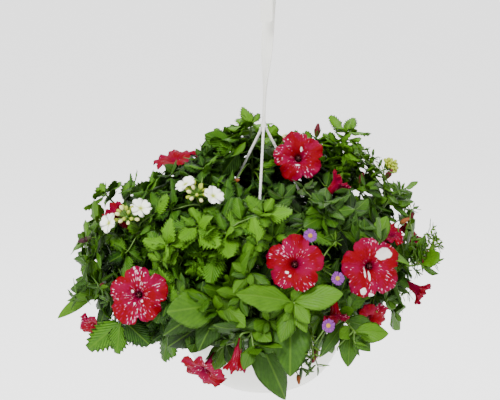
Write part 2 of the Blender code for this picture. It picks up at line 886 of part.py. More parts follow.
def grow_stalk(shoot, garden, seat, facing, t, end_solid, neighbour="", radius=TWIG_RADIUS):
    """A stalk from the stem to the cup or bud at its end."""
    for attempt in range(TRIES * 2):
        start, tangent = shoot.on_stem(max(0.3, t - 0.02 * attempt))
        span = (seat - start).length
        bend = shaken(shoot.draw, attempt * 1.5)
        controls = (start, start + tangent * span * 0.35 + bend, seat - facing * (span * 0.35 + 3), seat)
        points = curve_points(controls, STALK_POINTS)
        points[-1] = seat - facing * 2.5
        fat = tapered_stem(points, radius + 0.8, radius + 0.8, 4)
        stalk = tapered_stem(points, radius, radius)
        if garden.free(fat, (shoot.name, neighbour)) and garden.free(stalk, (shoot.name,)):
            break
    for solid in (stalk, end_solid):
        shoot.solids.append(solid)
        garden.add(shoot.name, solid)


def grow_buds(shoot, garden, buds):
    for t, centre, axis, length in buds:
        axis = axis.normalized()
        bud = egg(centre, axis, length, length * 0.2, 5)
        grow_stalk(shoot, garden, centre - axis * (length / 2 - 3), axis, t, bud)


def grow_chosen(shoot, garden, leaves):
    """The large leaves that show most, each from its place on the stem to its tip."""
    for t, tip, facing, width in leaves:
        root, _ = shoot.on_stem(t)
        blade = blade_towards("petunia_large", root, tip, facing, width)
        for attempt in range(TRIES * 3):
            if try_blade(shoot, garden, blade):
                break
            nudge = shaken(shoot.draw, attempt * 0.4)
            root, _ = shoot.on_stem(t - 0.004 * attempt)
            narrow = width * (1 - 0.01 * attempt)
            blade = blade_towards("petunia_large", root, tip + nudge, facing + nudge * 0.03, narrow)


def grow_lobes(shoot, garden):
    """The fine, cut leaves of a daisy spray: slim lobes all round the stem."""
    for i in range(shoot.leaves):
        share = (i + 0.5) / shoot.leaves
        for attempt in range(4):
            turn = 137.5 * i + shoot.draw.uniform(-30, 30)
            opening = shoot.draw.uniform(30, 60)
            point, direction, facing = leaf_directions(shoot, 0.45 + 0.54 * share, turn, opening)
            length = shoot.size * shoot.draw.uniform(0.7, 1.1) * (1 - 0.3 * share)
            blade = Blade("lobe", point, direction, facing, length, LOBE_WIDTH, 0.3)
            if try_blade(shoot, garden, blade):
                break


def star_outline(points, tip, notch, flat=0.0):
    """Turns and radii of a flat flower's edge: notches between petals and in each petal's tip."""
    outline = []
    for i in range(points):
        outline.append((i / points, notch))
        if flat:
            outline.append(((i + 0.26) / points, tip))
            outline.append(((i + 0.5) / points, flat))
            outline.append(((i + 0.74) / points, tip))
        else:
            outline.append(((i + 0.5) / points, tip))
    return outline


def verbena_head(name, seat, facing, floret_places, group, draw):
    """White florets and unopened buds on short stalks round a small core."""
    core = seat + facing * (GAP + HEAD_CORE_LENGTH / 2)
    pieces = [egg(core, facing, HEAD_CORE_LENGTH, HEAD_CORE_RADIUS, 6)]
    along, side, over = axes_for(facing, UP)
    for turn, reach, lift in floret_places:
        angle = math.radians(turn)
        flat = side * math.cos(angle) + over * math.sin(angle)
        centre = core + flat * reach + along * lift
        tilt = (along + flat * 0.5).normalized()
        pieces.append(tapered_stem([core + flat * 1.5, centre], 1.1, 1.1))
        outline = star_outline(5, FLORET_RADIUS, FLORET_RADIUS * 0.34, FLORET_RADIUS * 0.78)
        pieces.append(star(centre, tilt, outline, FLORET_THICKNESS, draw.uniform(0, 1)))
    taken = [turn for turn, _, _ in floret_places]
    for i in range(HEAD_BUDS):
        turn = 137.5 * i
        if any(abs((turn - other + 180) % 360 - 180) < 34 for other in taken):
            continue
        angle = math.radians(turn)
        lean = 0.35 + 0.9 * (i + 0.5) / HEAD_BUDS
        flat = side * math.cos(angle) + over * math.sin(angle)
        axis = along * math.cos(lean) + flat * math.sin(lean)
        pieces.append(egg(core + axis * 8, axis, HEAD_BUD_LENGTH, HEAD_BUD_RADIUS))
    return fuse(name, pieces, group)


def daisy(name, seat, facing, group):
    """Rays round a raised disc, as one small flower."""
    centre = seat + facing * (GAP + 0.8)
    rays = star(centre, facing, star_outline(DAISY_RAYS, DAISY_RADIUS, DAISY_RADIUS * 0.55), DAISY_THICKNESS)
    disc = egg(centre + facing * 0.8, facing, 3.0, DAISY_DISC_RADIUS)
    return fuse(name, [rays, disc], group)


SHOOTS = {
    # petunias, front
    "petunia_front": ("petunia", vec(34, -180, 166), 3, 36, None),
    "petunia_low": ("petunia", vec(-12, -186, 112), 4, 42, vec(0.1, -0.5, -0.85)),
    "petunia_front_left": ("petunia", vec(-52, -172, 152), 6, 46, vec(-0.3, -0.8, -0.2)),
    "petunia_left": ("petunia", vec(-198, -86, 150), 10, 48, vec(-0.8, -0.4, 0.2)),
    "petunia_far_left": ("petunia", vec(-205, -10, 205), 8, 48, None),
    "petunia_top_left": ("petunia", vec(-88, 30, 262), 7, 48, None),
    "petunia_top": ("petunia", vec(66, 10, 276), 7, 48, None),
    "petunia_right": ("petunia", vec(136, -104, 214), 8, 50, None),
    "petunia_far_right": ("petunia", vec(190, -62, 172), 8, 48, None),
    "petunia_low_right": ("petunia", vec(98, -164, 126), 7, 46, vec(0.4, -0.75, -0.4)),
    "petunia_crown": ("petunia", vec(70, -96, 258), 7, 46, None),
    "petunia_top_right": ("petunia", vec(160, 2, 240), 8, 43, None),
    # petunias, back
    "petunia_back_left": ("petunia", vec(-96, 140, 232), 6, 52, None),
    "petunia_back_right": ("petunia", vec(104, 142, 214), 6, 52, None),
    "petunia_back": ("petunia", vec(6, 186, 146), 6, 52, vec(0, 0.8, -0.3)),
    "petunia_side": ("petunia", vec(184, 74, 168), 6, 52, None),
    # verbena
    "verbena_left": ("verbena", vec(-152, -76, 226), 7, 40, None),
    "verbena_upper": ("verbena", vec(-74, -86, 262), 7, 40, None),
    "verbena_middle_left": ("verbena", vec(-108, -136, 218), 7, 42, None),
    "verbena_middle": ("verbena", vec(-42, -138, 234), 8, 42, None),
    "verbena_low_left": ("verbena", vec(-170, -104, 108), 6, 42, vec(-0.6, -0.5, -0.5)),
    "verbena_top": ("verbena", vec(-16, 46, 318), 8, 40, None),
    "verbena_top_right": ("verbena", vec(104, 44, 304), 7, 40, None),
    "verbena_top_left": ("verbena", vec(-198, 28, 232), 5, 38, None),
    "verbena_back": ("verbena", vec(4, 128, 258), 6, 42, None),
    "verbena_back_low_left": ("verbena", vec(-150, 128, 168), 6, 42, None),
    "verbena_back_low_right": ("verbena", vec(110, 168, 132), 5, 40, None),
    # daisies
    "daisy_spray_front": ("daisy", vec(66, -152, 204), 14, 20, None),
    "daisy_spray_low": ("daisy", vec(56, -182, 104), 13, 20, vec(0.1, -0.5, -0.8)),
    "daisy_spray_edge": ("daisy", vec(214, -24, 182), 14, 22, None),
    "daisy_spray_back": ("daisy", vec(-52, 172, 186), 12, 20, None),
}

BLOOMS = {
    "petunia_bloom_a": ("petunia_top_left", vec(-112, 40, 276), vec(-0.2, -0.1, 0.97), 29, 1.0),
    "petunia_bloom_b": ("petunia_top", vec(42, -18, 292), vec(0.0, -0.85, 0.5), 32, 1.0),
    "petunia_bloom_c": ("petunia_front", vec(34, -168, 208), vec(-0.1, -0.88, 0.45), 33, 1.0),
    "petunia_bloom_d": ("petunia_right", vec(122, -132, 193), vec(0.15, -0.92, 0.35), 35, 1.0),
    "petunia_bloom_e": ("petunia_left", vec(-142, -148, 163), vec(-0.1, -0.93, 0.35), 35, 1.0),
    "petunia_bloom_f": ("petunia_low", vec(-68, -176, 80), vec(-0.45, -0.70, -0.55), 29, 1.0),
    "petunia_bloom_g": ("petunia_low", vec(-30, -184, 96), vec(-0.15, -0.25, -0.95), 20, 0.45),
    "petunia_bloom_h": ("petunia_left", vec(-200, -92, 100), vec(-0.6, -0.6, -0.4), 24, 0.8),
    "petunia_bloom_i": ("petunia_far_left", vec(-178, -34, 222), vec(-0.6, -0.2, 0.75), 24, 0.5),
    "petunia_bloom_j": ("petunia_far_right", vec(148, -66, 214), vec(0.35, -0.3, 0.85), 21, 0.9),
    "petunia_bloom_k": ("petunia_far_right", vec(186, -78, 142), vec(0.75, -0.4, -0.4), 20, 0.6),
    "petunia_bloom_l": ("petunia_low_right", vec(126, -114, 118), vec(0.5, -0.8, -0.25), 26, 1.0),
    "petunia_bloom_m": ("petunia_low_right", vec(82, -150, 138), vec(0.1, -0.6, -0.8), 18, 0.7),
    "petunia_bloom_n": ("petunia_crown", vec(88, -50, 268), vec(0.7, 0.1, 0.7), 20, 0.5),
    "petunia_bloom_o": ("petunia_back_left", vec(-66, 164, 196), vec(-0.25, 0.85, 0.45), 33, 1.0),
    "petunia_bloom_p": ("petunia_back_right", vec(88, 160, 172), vec(0.3, 0.88, 0.35), 34, 1.0),
    "petunia_bloom_q": ("petunia_side", vec(196, 60, 160), vec(0.85, 0.35, 0.3), 32, 1.0),
    "petunia_bloom_r": ("petunia_back", vec(-34, 190, 128), vec(-0.2, 0.95, 0.0), 31, 1.0),
}


CHOSEN_LEAVES = {
    "petunia_front": (
        (0.985, vec(-30, -196, 182), vec(0.1, -0.7, 0.7), 36),
        (0.975, vec(88, -182, 178), vec(-0.1, -0.75, 0.65), 31),
        (0.96, vec(10, -192, 196), vec(0.2, -0.9, 0.3), 20),
        (0.96, vec(48, -192, 136), vec(0.0, -0.95, 0.2), 18),
        (0.88, vec(30, -198, 86), vec(0.05, -0.95, 0.3), 46),
    ),
    "petunia_low": (
        (0.80, vec(26, -172, 46), vec(0.25, -0.95, 0.1), 42),
    ),
    "petunia_front_left": (
        (0.93, vec(-106, -188, 158), vec(0.0, -0.85, 0.5), 46),
        (0.80, vec(-112, -168, 122), vec(-0.2, -0.9, 0.3), 34),
        (0.86, vec(-72, -180, 108), vec(-0.1, -0.95, 0.2), 32),
        (0.70, vec(-14, -176, 226), vec(-0.4, -0.85, 0.3), 24),
    ),
    "petunia_left": (
        (0.97, vec(-210, -86, 190), vec(-0.3, -0.7, 0.5), 26),
        (0.95, vec(-244, -86, 110), vec(-0.4, -0.85, 0.3), 15),
        (0.93, vec(-238, -100, 146), vec(-0.3, -0.9, 0.3), 22),
        (0.90, vec(-188, -118, 106), vec(-0.3, -0.9, 0.2), 24),
    ),
    "petunia_far_left": (
        (0.97, vec(-230, -58, 180), vec(-0.3, -0.7, 0.6), 24),
    ),
    "petunia_right": (
        (0.97, vec(170, -122, 190), vec(0.5, -0.5, 0.8), 24),
    ),
    "petunia_low_right": (
        (0.97, vec(142, -154, 120), vec(0.2, -0.8, 0.6), 26),
        (0.95, vec(122, -158, 100), vec(0.2, -0.9, 0.4), 23),
        (0.91, vec(96, -166, 84), vec(0.1, -0.95, 0.2), 24),
        (0.88, vec(64, -174, 100), vec(0.0, -0.95, 0.2), 18),
    ),
}

BUDS = {
    "petunia_top_right": (
        (0.80, vec(118, -8, 262), vec(0.2, -0.3, 0.9), 17),
        (0.90, vec(152, -2, 266), vec(0.5, -0.2, 0.8), 16),
    ),
    "petunia_top": ((0.85, vec(66, 34, 312), vec(0.1, 0.0, 1.0), 18),),
    "petunia_far_left": ((0.85, vec(-214, -18, 192), vec(-0.95, -0.1, 0.1), 20),),
    "petunia_far_right": ((0.80, vec(176, -38, 222), vec(0.3, -0.3, 0.9), 15),),
    "petunia_low_right": ((0.70, vec(58, -170, 100), vec(-0.3, -0.5, -0.8), 18),),
    "petunia_left": ((0.85, vec(-184, -124, 166), vec(-0.3, -0.95, 0.3), 13),),
    "petunia_back": ((0.80, vec(40, 186, 176), vec(0.2, 0.9, 0.4), 18),),
}

HEADS = {
    "verbena_head_left": (
        "verbena_left", vec(-156, -84, 232), vec(-0.2, -0.65, 0.75),
        ((214, 22, 5), (36, 18, 6)),
    ),
    "verbena_head_upper": (
        "verbena_upper", vec(-76, -94, 262), vec(0.0, -0.6, 0.8),
        ((140, 17, 6), (345, 19, 5)),
    ),
    "verbena_head_right": ("verbena_top_right", vec(152, 36, 262), vec(0.7, -0.2, 0.7), ()),
    "verbena_head_back": (
        "verbena_back", vec(20, 138, 262), vec(0.1, 0.7, 0.7),
        ((30, 18, 5), (160, 18, 6), (270, 18, 4)),
    ),
}

DAISIES = {
    "daisy_upper": ("daisy_spray_front", vec(52, -150, 234), vec(0.0, -0.85, 0.55)),
    "daisy_middle": ("daisy_spray_front", vec(82, -166, 190), vec(0.15, -0.92, 0.35)),
    "daisy_low": ("daisy_spray_low", vec(72, -180, 140), vec(0.1, -0.98, 0.2)),
    "daisy_back": ("daisy_spray_back", vec(-30, 164, 208), vec(-0.1, 0.85, 0.5)),
}


def paint(thing, finishes):
    """Give an object the finish that its name begins with."""
    for start, finish in finishes.items():
        if thing.name.startswith(start):
            thing.data.materials.clear()
            thing.data.materials.append(finish)


def make_blooms(group, garden):
    blooms = {}
    for seed, (name, (_, centre, facing, radius, openness)) in enumerate(BLOOMS.items()):
        bloom = Bloom(centre, facing, radius, BLOOM_SEED + seed, openness)
        thing = thick_shell(name, *bloom.open_mesh(), PETAL_THICKNESS, group)
        garden.add(name, solid_of(thing.data))
        blooms[name] = bloom
    return blooms


def make_heads(group, garden):
    for seed, (name, (_, seat, facing, florets)) in enumerate(HEADS.items()):
        draw = random.Random(HEAD_SEED + seed)
        head = verbena_head(name, seat, facing.normalized(), florets, group, draw)
        garden.add(name, solid_of(head.data))
    for name, (_, seat, facing) in DAISIES.items():
        garden.add(name, solid_of(daisy(name, seat, facing.normalized(), group).data))


def grow_shoots(garden, blooms):
    """Every shoot with its stalks first, then its buds and chosen leaves, then the rest."""
    shoots = {}
    for seed, (name, (kind, tip, leaves, size, aim)) in enumerate(SHOOTS.items()):
        shoots[name] = Shoot(name, kind, tip, leaves, size, aim, seed)
        grow_stem(shoots[name], garden)
    for name, (owner, *_) in BLOOMS.items():
        bloom = blooms[name]
        cup = calyx(bloom.seat, bloom.facing)
        grow_stalk(shoots[owner], garden, bloom.seat, bloom.facing, 0.86, cup, name)
    for name, (owner, seat, facing, *_) in (HEADS | DAISIES).items():
        facing = facing.normalized()
        knob = egg(seat - facing * 2, facing, 4, KNOB_RADIUS, 5)
        thin = STALK_RADIUS if name in DAISIES else TWIG_RADIUS
        grow_stalk(shoots[owner], garden, seat, facing, 0.9, knob, name, thin)
    for name, buds in BUDS.items():
        grow_buds(shoots[name], garden, buds)
    for name, leaves in CHOSEN_LEAVES.items():
        grow_chosen(shoots[name], garden, leaves)
    for shoot in shoots.values():
        if shoot.kind == "daisy":
            grow_lobes(shoot, garden)
        else:
            grow_leaves(shoot, garden)
    return shoots


def main():
    clear_scene()
    plants = bpy.data.collections.new("flowering_hanging_basket")
    bpy.context.scene.collection.children.link(plants)
    garden = Garden()
    garden.add("pot", solid_of(make_pot(plants).data))
    garden.add("hanger", solid_of(make_hanger(plants).data))
    blooms = make_blooms(plants, garden)
    make_heads(plants, garden)
    shoots = grow_shoots(garden, blooms)
    make_soil(plants, [shoot.root for shoot in shoots.values()])
    for shoot in shoots.values():
        fuse(shoot.name, shoot.solids, plants)

    leaf = material("leaf", LEAF_GREEN, 0.5)
    finishes = {
        "petunia": leaf,
        "verbena": leaf,
        "daisy_spray": leaf,
        "petunia_bloom": material("red_petal", PETAL_RED, 0.5),
        "verbena_head": material("white_petal", PETAL_WHITE, 0.5),
        "pot": material("white_plastic", POT_WHITE, 0.35),
        "soil": material("potting_soil", SOIL_BROWN, 0.95),
    }
    finishes["hanger"] = finishes["pot"]
    mauve = material("mauve_petal", PETAL_MAUVE, 0.5)
    for name in DAISIES:
        finishes[name] = mauve
    for thing in plants.objects:
        paint(thing, finishes)


main()
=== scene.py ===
"""The looks of a hanging pot planted with petunias, verbena and small daisies.

Sizes are millimetres until a mesh is made; the frame's own objects are in metres. Every leafy stem is
drawn again by the rule that its solid follows, leaf for leaf, and then gets the young leaves and side
shoots that fill the plant. -Y is the side that faces the viewer.
"""
import json
import math
import random

import bmesh
import bpy
from mathutils import Matrix, Vector
from mathutils.kdtree import KDTree

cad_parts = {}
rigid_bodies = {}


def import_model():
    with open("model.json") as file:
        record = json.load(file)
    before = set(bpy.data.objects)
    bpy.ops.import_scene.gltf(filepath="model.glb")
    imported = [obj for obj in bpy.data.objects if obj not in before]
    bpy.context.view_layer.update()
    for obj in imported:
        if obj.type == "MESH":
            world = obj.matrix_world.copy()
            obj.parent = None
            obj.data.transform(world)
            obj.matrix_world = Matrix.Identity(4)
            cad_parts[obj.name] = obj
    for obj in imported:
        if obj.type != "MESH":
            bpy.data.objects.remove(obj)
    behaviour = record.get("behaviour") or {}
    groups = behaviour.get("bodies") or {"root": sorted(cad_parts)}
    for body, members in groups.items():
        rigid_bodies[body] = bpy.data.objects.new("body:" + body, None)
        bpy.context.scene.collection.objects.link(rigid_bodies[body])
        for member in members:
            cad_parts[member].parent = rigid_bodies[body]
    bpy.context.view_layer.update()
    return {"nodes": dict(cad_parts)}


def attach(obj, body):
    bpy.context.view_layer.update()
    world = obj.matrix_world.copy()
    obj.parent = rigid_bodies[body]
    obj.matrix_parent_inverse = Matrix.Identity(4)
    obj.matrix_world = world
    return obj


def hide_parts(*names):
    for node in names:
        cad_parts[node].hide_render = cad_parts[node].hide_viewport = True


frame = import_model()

MM = 0.001
UP = Vector((0, 0, 1))
SAME_POINT = 0.03

# Camera: the photo's own angle, framed so that the pot's rim stands at one pixel of it
PHOTO_WIDTH = 500
PHOTO_HEIGHT = 400
FOCAL_PIXELS = 1280.0
SENSOR_WIDTH = 36.0
VIEW_HEIGHT = math.radians(20.0)
VIEW_DISTANCE = 1600.0
AIM_HEIGHT = 118.0
AIM_PIXEL = (264.0, 288.0)
TOWARD_VIEWER = Vector((0, -math.cos(VIEW_HEIGHT), math.sin(VIEW_HEIGHT)))

# Studio, in metres: the floor, and soft square lamps with their place, width and power
FLOOR_SIZE = 60.0
FLOOR_HEIGHT = -0.62
FLOOR_WHITE = (0.92, 0.92, 0.92, 1.0)
FLOOR_GLOW = 1.3
PURE_WHITE = (1.0, 1.0, 1.0, 1.0)
LAMPS = {
    "key": ((-0.9, -1.6, 2.2), 1.0, 140),
    "fill": ((1.8, -1.4, 1.2), 1.6, 24),
    "back": ((0.4, 1.8, 1.8), 1.4, 45),
}
LIT_POINT = (0, 0, 0.2)

# Pot and soil
RIM_RADIUS = 115.0
RIM_HEIGHT = 118.0
RIM_WIDTH = 9.0
RIM_DEPTH = 3.0
BASE_RADIUS = 46.0
WALL = 2.0
SOIL_HEIGHT = 104.0
MOUND = 5.0
ROOT_DEPTH = 12.0
ROOT_CIRCLE = 86.0
TURN_STEPS = 128
RIM_STEPS = 6
BOWL_STEPS = 25
INNER_STEPS = 19
SOIL_RINGS = 22
DRAIN_RADIUS = 4.0
DRAIN_CIRCLE = 30.0
SLOT_WIDTH = 6.6
SLOT_DEPTH = 4.2
CUT_DEPTH = 12.0

# Hanger
LEG_AZIMUTHS = (-5.5, 114.5, 234.5)
LEG_RADIUS = 1.8
LEG_CIRCLE = 110.5
SHOULDER_RADIUS = 5.0
SHOULDER_DROP = 10.0
ANKLE_RISE = 9.0
HUB_HEIGHT = 328.0
HUB_RADIUS = 3.6
HUB_LENGTH = 7.0
HUB_DROP = 4.0
BAND_WIDTH = 15.0
BAND_THICKNESS = 2.2
BAND_LEAN = 9.0
BAND_TWIST = math.radians(60.0)
NECK_WIDTH = 4.2
NECK_THICKNESS = 4.0
CROWN_HEIGHT = 527.0
HOOK_RADIUS = 14.0
HOOK_TURN = math.radians(13.0)
HOOK_TIP_HEIGHT = 452.0
HOOK_STEPS = 8
STRAP_ROWS = 96
STRAP_CORNERS = 20
ANKLE_INSET = 1.0
HEEL_DROP = 1.5
LEG_BEADS = 46
BEAD_SWELL = 0.98
BEAD_WAIST = 0.80

# The strap's path: shares of its climb, and at its tip how far it leans in and how high it still is
BAND_STATIONS = (0.0, 0.16, 0.34, 0.52, 0.76, 1.0)
TIP_ROWS = ((1.0, 10.0), (1.5, 0.0))

# Stretches of that path, in its points: where the neck starts to widen and for how long, and the round end
NECK_START = 0.6
NECK_RUN = 2.6
TIP_RUN = 0.8

# Canopy
CANOPY_RADIUS = 210.0
CANOPY_RISE = 175.0
CANOPY_BASE = 110.0

# Plants
STEM_RADIUS = 2.1
TWIG_RADIUS = 1.2
STALK_RADIUS = 0.9
STEM_POINTS = 6
STALK_POINTS = 4
ROUNDING = 0.4
LOBE_WIDTH = 3.0
GAP = 0.3
TUBE_LENGTH = 27.0
TUBE_FOOT_RADIUS = 2.6
TUBE_MOUTH_RADIUS = 4.6
ANTHER_CIRCLE = 2.2
BLOOM_SEED = 100
TRIES = 14
GOLDEN_ANGLE = 137.5


def vec(x, y, z):
    return Vector((x, y, z))


def polar(azimuth, radius, height):
    """A point by its azimuth in degrees from the viewer's side, towards +X, and its radius."""
    angle = math.radians(azimuth)
    return vec(radius * math.sin(angle), -radius * math.cos(angle), height)


def axes_for(direction, facing):
    """Unit axes along a direction, across it, and square to both on the facing side."""
    along = direction.normalized()
    across = facing.cross(along)
    if across.length < 1e-4:
        across = along.orthogonal()
    across.normalize()
    return along, across, along.cross(across)


def outward(point):
    """The way out of the canopy at a point."""
    spread = CANOPY_RADIUS ** 2
    return vec(point.x / spread, point.y / spread, (point.z - CANOPY_BASE) / CANOPY_RISE ** 2).normalized()


def held(share):
    """A share kept between nought and one."""
    return max(0.0, min(1.0, share))


def around(side, over, angle):
    """The unit vector at an angle from one axis towards another."""
    return side * math.cos(angle) + over * math.sin(angle)


# Meshes and objects


def linked(name, data):
    """A new object in the scene."""
    thing = bpy.data.objects.new(name, data)
    bpy.context.scene.collection.objects.link(thing)
    return thing


def baked(thing):
    """The mesh of an object with its modifiers applied; the object goes."""
    bpy.context.view_layer.update()
    graph = bpy.context.evaluated_depsgraph_get()
    mesh = bpy.data.meshes.new_from_object(
        thing.evaluated_get(graph), preserve_all_data_layers=True, depsgraph=graph
    )
    bpy.data.objects.remove(thing)
    return mesh


def join(name, meshes):
    """One object of several meshes."""
    things = [linked(name, mesh) for mesh in meshes]
    if len(things) > 1:
        with bpy.context.temp_override(active_object=things[0], selected_editable_objects=things):
            bpy.ops.object.join()
    things[0].name = name
    return things[0]


def mark(mesh, label, values, kind="FLOAT_VECTOR"):
    """A value at each point of a mesh, for the trees and the materials to read."""
    layer = mesh.attributes.new(label, kind, "POINT")
    if kind == "FLOAT_VECTOR":
        layer.data.foreach_set("vector", [number for vector in values for number in vector])
    else:
        layer.data.foreach_set("value", values)


def smooth_mesh(name, corners, faces, material=None, **marks):
    """A smooth mesh with its material and its marks."""
    mesh = bpy.data.meshes.new(name)
    mesh.from_pydata(corners, [], faces)
    for label, values in marks.items():
        mark(mesh, label, values)
    mesh.shade_smooth()
    if material:
        mesh.materials.append(material)
    return mesh


def mesh_from(name, bm):
    """The mesh of a bmesh, which is freed."""
    mesh = bpy.data.meshes.new(name)
    bm.to_mesh(mesh)
    bm.free()
    return mesh


# Node trees


class Flow:
    """A node's output, for use in expressions: an operator adds a Math or a Vector Math node."""

    def __init__(self, sheet, socket):
        self.sheet = sheet
        self.socket = socket

    def __add__(self, other):
        return self.sheet.maths("ADD", self, other)

    def __radd__(self, other):
        return self.sheet.maths("ADD", other, self)

    def __sub__(self, other):
        return self.sheet.maths("SUBTRACT", self, other)

    def __rsub__(self, other):
        return self.sheet.maths("SUBTRACT", other, self)

    def __mul__(self, other):
        return self.sheet.maths("MULTIPLY", self, other)

    def __truediv__(self, other):
        return self.sheet.maths("DIVIDE", self, other)


class Sheet:
    """A node tree that is written as expressions."""

    def __init__(self, tree):
        self.tree = tree

    def node(self, kind, settings, values, output=0):
        """Add a node: its settings first, then the values or links of its sockets."""
        made = self.tree.nodes.new(kind)
        for name, setting in settings.items():
            if name != "stops":
                setattr(made, name, setting)
                continue
            made.color_ramp.elements.new(0.5)
            for element, (place, colour) in zip(made.color_ramp.elements, setting):
                element.position = place
                element.color = (*colour, 1.0)
        for name, value in values.items():
            socket = made.inputs[name]
            if isinstance(value, Flow):
                self.tree.links.new(value.socket, socket)
            elif value is not None:
                socket.default_value = value
        return Flow(self, made.outputs[output])

    def maths(self, operation, *items):
        if not any(isinstance(i, Flow) and i.socket.type == "VECTOR" for i in items):
            return self.node("ShaderNodeMath", {"operation": operation}, dict(enumerate(items)))
        threes = [(i, i, i) if isinstance(i, (int, float)) else i for i in items]
        return self.node("ShaderNodeVectorMath", {"operation": operation}, dict(enumerate(threes)))

    def sin(self, item):
        return self.maths("SINE", item)

    def cos(self, item):
        return self.maths("COSINE", item)

    def absolute(self, item):
        return self.maths("ABSOLUTE", item)

    def ease(self, item, low, high):
        """Nought below low, one above high, and smooth between."""
        return self.node(
            "ShaderNodeMapRange", {"interpolation_type": "SMOOTHSTEP"},
            {"Value": item, "From Min": low, "From Max": high},
        )

    def mix(self, first, second, factor):
        """Two colours mixed."""
        pair = {0: factor, 6: colour4(first), 7: colour4(second)}
        return self.node("ShaderNodeMix", {"data_type": "RGBA"}, pair, 2)

    def split(self, vector, axis):
        return self.node("ShaderNodeSeparateXYZ", {}, {0: vector}, axis)

    def marked(self, name, output="Vector"):
        """What a mesh is marked with, for a material to read."""
        return self.node("ShaderNodeAttribute", {"attribute_name": name}, {}, output)

    def spot(self):
        """The place in the object's own coordinates."""
        return self.node("ShaderNodeTexCoord", {}, {}, "Object")

    def noise(self, vector, scale, detail=2.0, roughness=0.5):
        values = {"Vector": vector, "Scale": scale, "Detail": detail, "Roughness": roughness}
        return self.node("ShaderNodeTexNoise", {}, values, "Fac")

    def spots(self, vector, scale):
        """The distance to the nearest of many scattered points."""
        return self.node("ShaderNodeTexVoronoi", {}, {"Vector": vector, "Scale": scale}, "Distance")


def colour4(item):
    """A colour with its alpha, or a flow as it is."""
    return item if isinstance(item, Flow) else (*item, 1.0)


def shaded(name, roughness, **constants):
    """A new material, its sheet and its Principled shader, whose constants are set on its sockets."""
    made = bpy.data.materials.new(name)
    made.use_nodes = True
    shader = made.node_tree.nodes["Principled BSDF"]
    shader.inputs["Roughness"].default_value = roughness
    for label, value in constants.items():
        shader.inputs[label.replace("_", " ")].default_value = value
    return made, Sheet(made.node_tree), shader


def feed(sheet, shader, label, flow):
    """Link a flow to one of the shader's sockets."""
    sheet.tree.links.new(flow.socket, shader.inputs[label])


def bumped(sheet, shader, height, distance, strength=1.0):
    """Relief from a height in the Normal socket; the distance is in millimetres."""
    values = {"Height": height, "Distance": distance * MM, "Strength": strength}
    feed(sheet, shader, "Normal", sheet.node("ShaderNodeBump", {}, values))


# Materials

# Greens from the painted shade deep inside the plant to the young leaves at its outside, for each kind of
# leaf
PETUNIA_GREENS = ((0.005, 0.018, 0.001), (0.021, 0.066, 0.002), (0.050, 0.135, 0.002))
VERBENA_GREENS = ((0.006, 0.028, 0.001), (0.030, 0.098, 0.002), (0.074, 0.200, 0.002))
DAISY_GREENS = ((0.008, 0.028, 0.001), (0.040, 0.100, 0.004), (0.080, 0.170, 0.006))
LEAF_VEIN = (0.064, 0.145, 0.008)
STEM_GREEN = (0.045, 0.100, 0.006)
STEM_PALE = tuple(c * 1.9 for c in STEM_GREEN)
LEAF_RELIEF = 0.7

# The petunias' reds, and the white and pink of their flecks
PETAL_RED = (0.150, 0.0, 0.003)
PETAL_CRIMSON = (0.165, 0.0, 0.022)
PETAL_VEIN = (0.085, 0.0, 0.004)
# Painted shade for the deep throat of the funnel
PAINTED_THROAT_SHADE = (0.075, 0.0, 0.004)
PETAL_HALO = (0.200, 0.004, 0.060)
FLECK_WHITE = (0.54, 0.38, 0.40)
FLECK_PINK = (0.46, 0.10, 0.19)
BLOTCH_WHITE = (0.62, 0.56, 0.54)
DOTS_PER_METRE = 210.0
DASHES_PER_RAY = 2.4

PLASTIC_WHITE = (0.70, 0.70, 0.66)
PLASTIC_DUSTY = (0.62, 0.62, 0.57)


def leaf_material(name, greens, veins, gloss, crease):
    """A leaf: tone from leaf to leaf, veins on its own map, and puffed fields with dark creases between, as
    painted light on the fields and painted shade in the creases.
    """
    made, sheet, shader = shaded(name, gloss, Specular_IOR_Level=0.16)
    # The tone mark carries each leaf's painted shade inside the plant and its painted light and shade by
    # region
    tone = sheet.marked("tone", "Fac")
    seat = sheet.marked("leaf_place")
    across = sheet.absolute(sheet.split(seat, 0))
    along = sheet.split(seat, 1)
    spot = sheet.spot()
    mottle = sheet.noise(spot, 160.0, 3.0, 0.6)
    slant = along - across * 0.62
    ripple = sheet.absolute(sheet.sin(slant * (math.pi * veins)))
    # Painted light on the middles of the fields between the veins and painted shade in the creases, as strong
    # as the crease
    field = (ripple - 0.6) * crease * sheet.ease(across, 0.03, 0.3)
    value = tone + (mottle - 0.5) * 0.55 + (across - 0.25) * 0.10 + field
    base = sheet.node("ShaderNodeValToRGB", {"stops": tuple(zip((0.0, 0.5, 1.0), greens))}, {0: value})
    rib = 1 - sheet.ease(across, 0.02, 0.085)
    side = (1 - sheet.ease(ripple, 0.03, 0.20)) * sheet.ease(along, 0.05, 0.15) * (1 - along * 0.6)
    vein = sheet.maths("MAXIMUM", rib * 0.80, side * (0.42 - crease * 0.43))
    feed(sheet, shader, "Base Color", sheet.mix(base, LEAF_VEIN, vein * 0.70))
    net = sheet.noise(spot, 900.0, 2.0)
    puffed = ripple * (0.22 + crease * 1.5) * sheet.ease(across, 0.0, 0.3)
    bumped(sheet, shader, puffed - rib * 0.6 + net * 0.45 + mottle * 0.7, LEAF_RELIEF)
    feed(sheet, shader, "Roughness", gloss + (mottle - 0.5) * 0.25)
    return made


def stem_material(name):
    """A round green stem with pale streaks."""
    made, sheet, shader = shaded(name, 0.5)
    spot = sheet.spot()
    feed(sheet, shader, "Base Color", sheet.mix(STEM_GREEN, STEM_PALE, sheet.noise(spot, 220.0, 3.0)))
    bumped(sheet, shader, sheet.noise(spot, 1500.0, 2.0), 0.25)
    return made


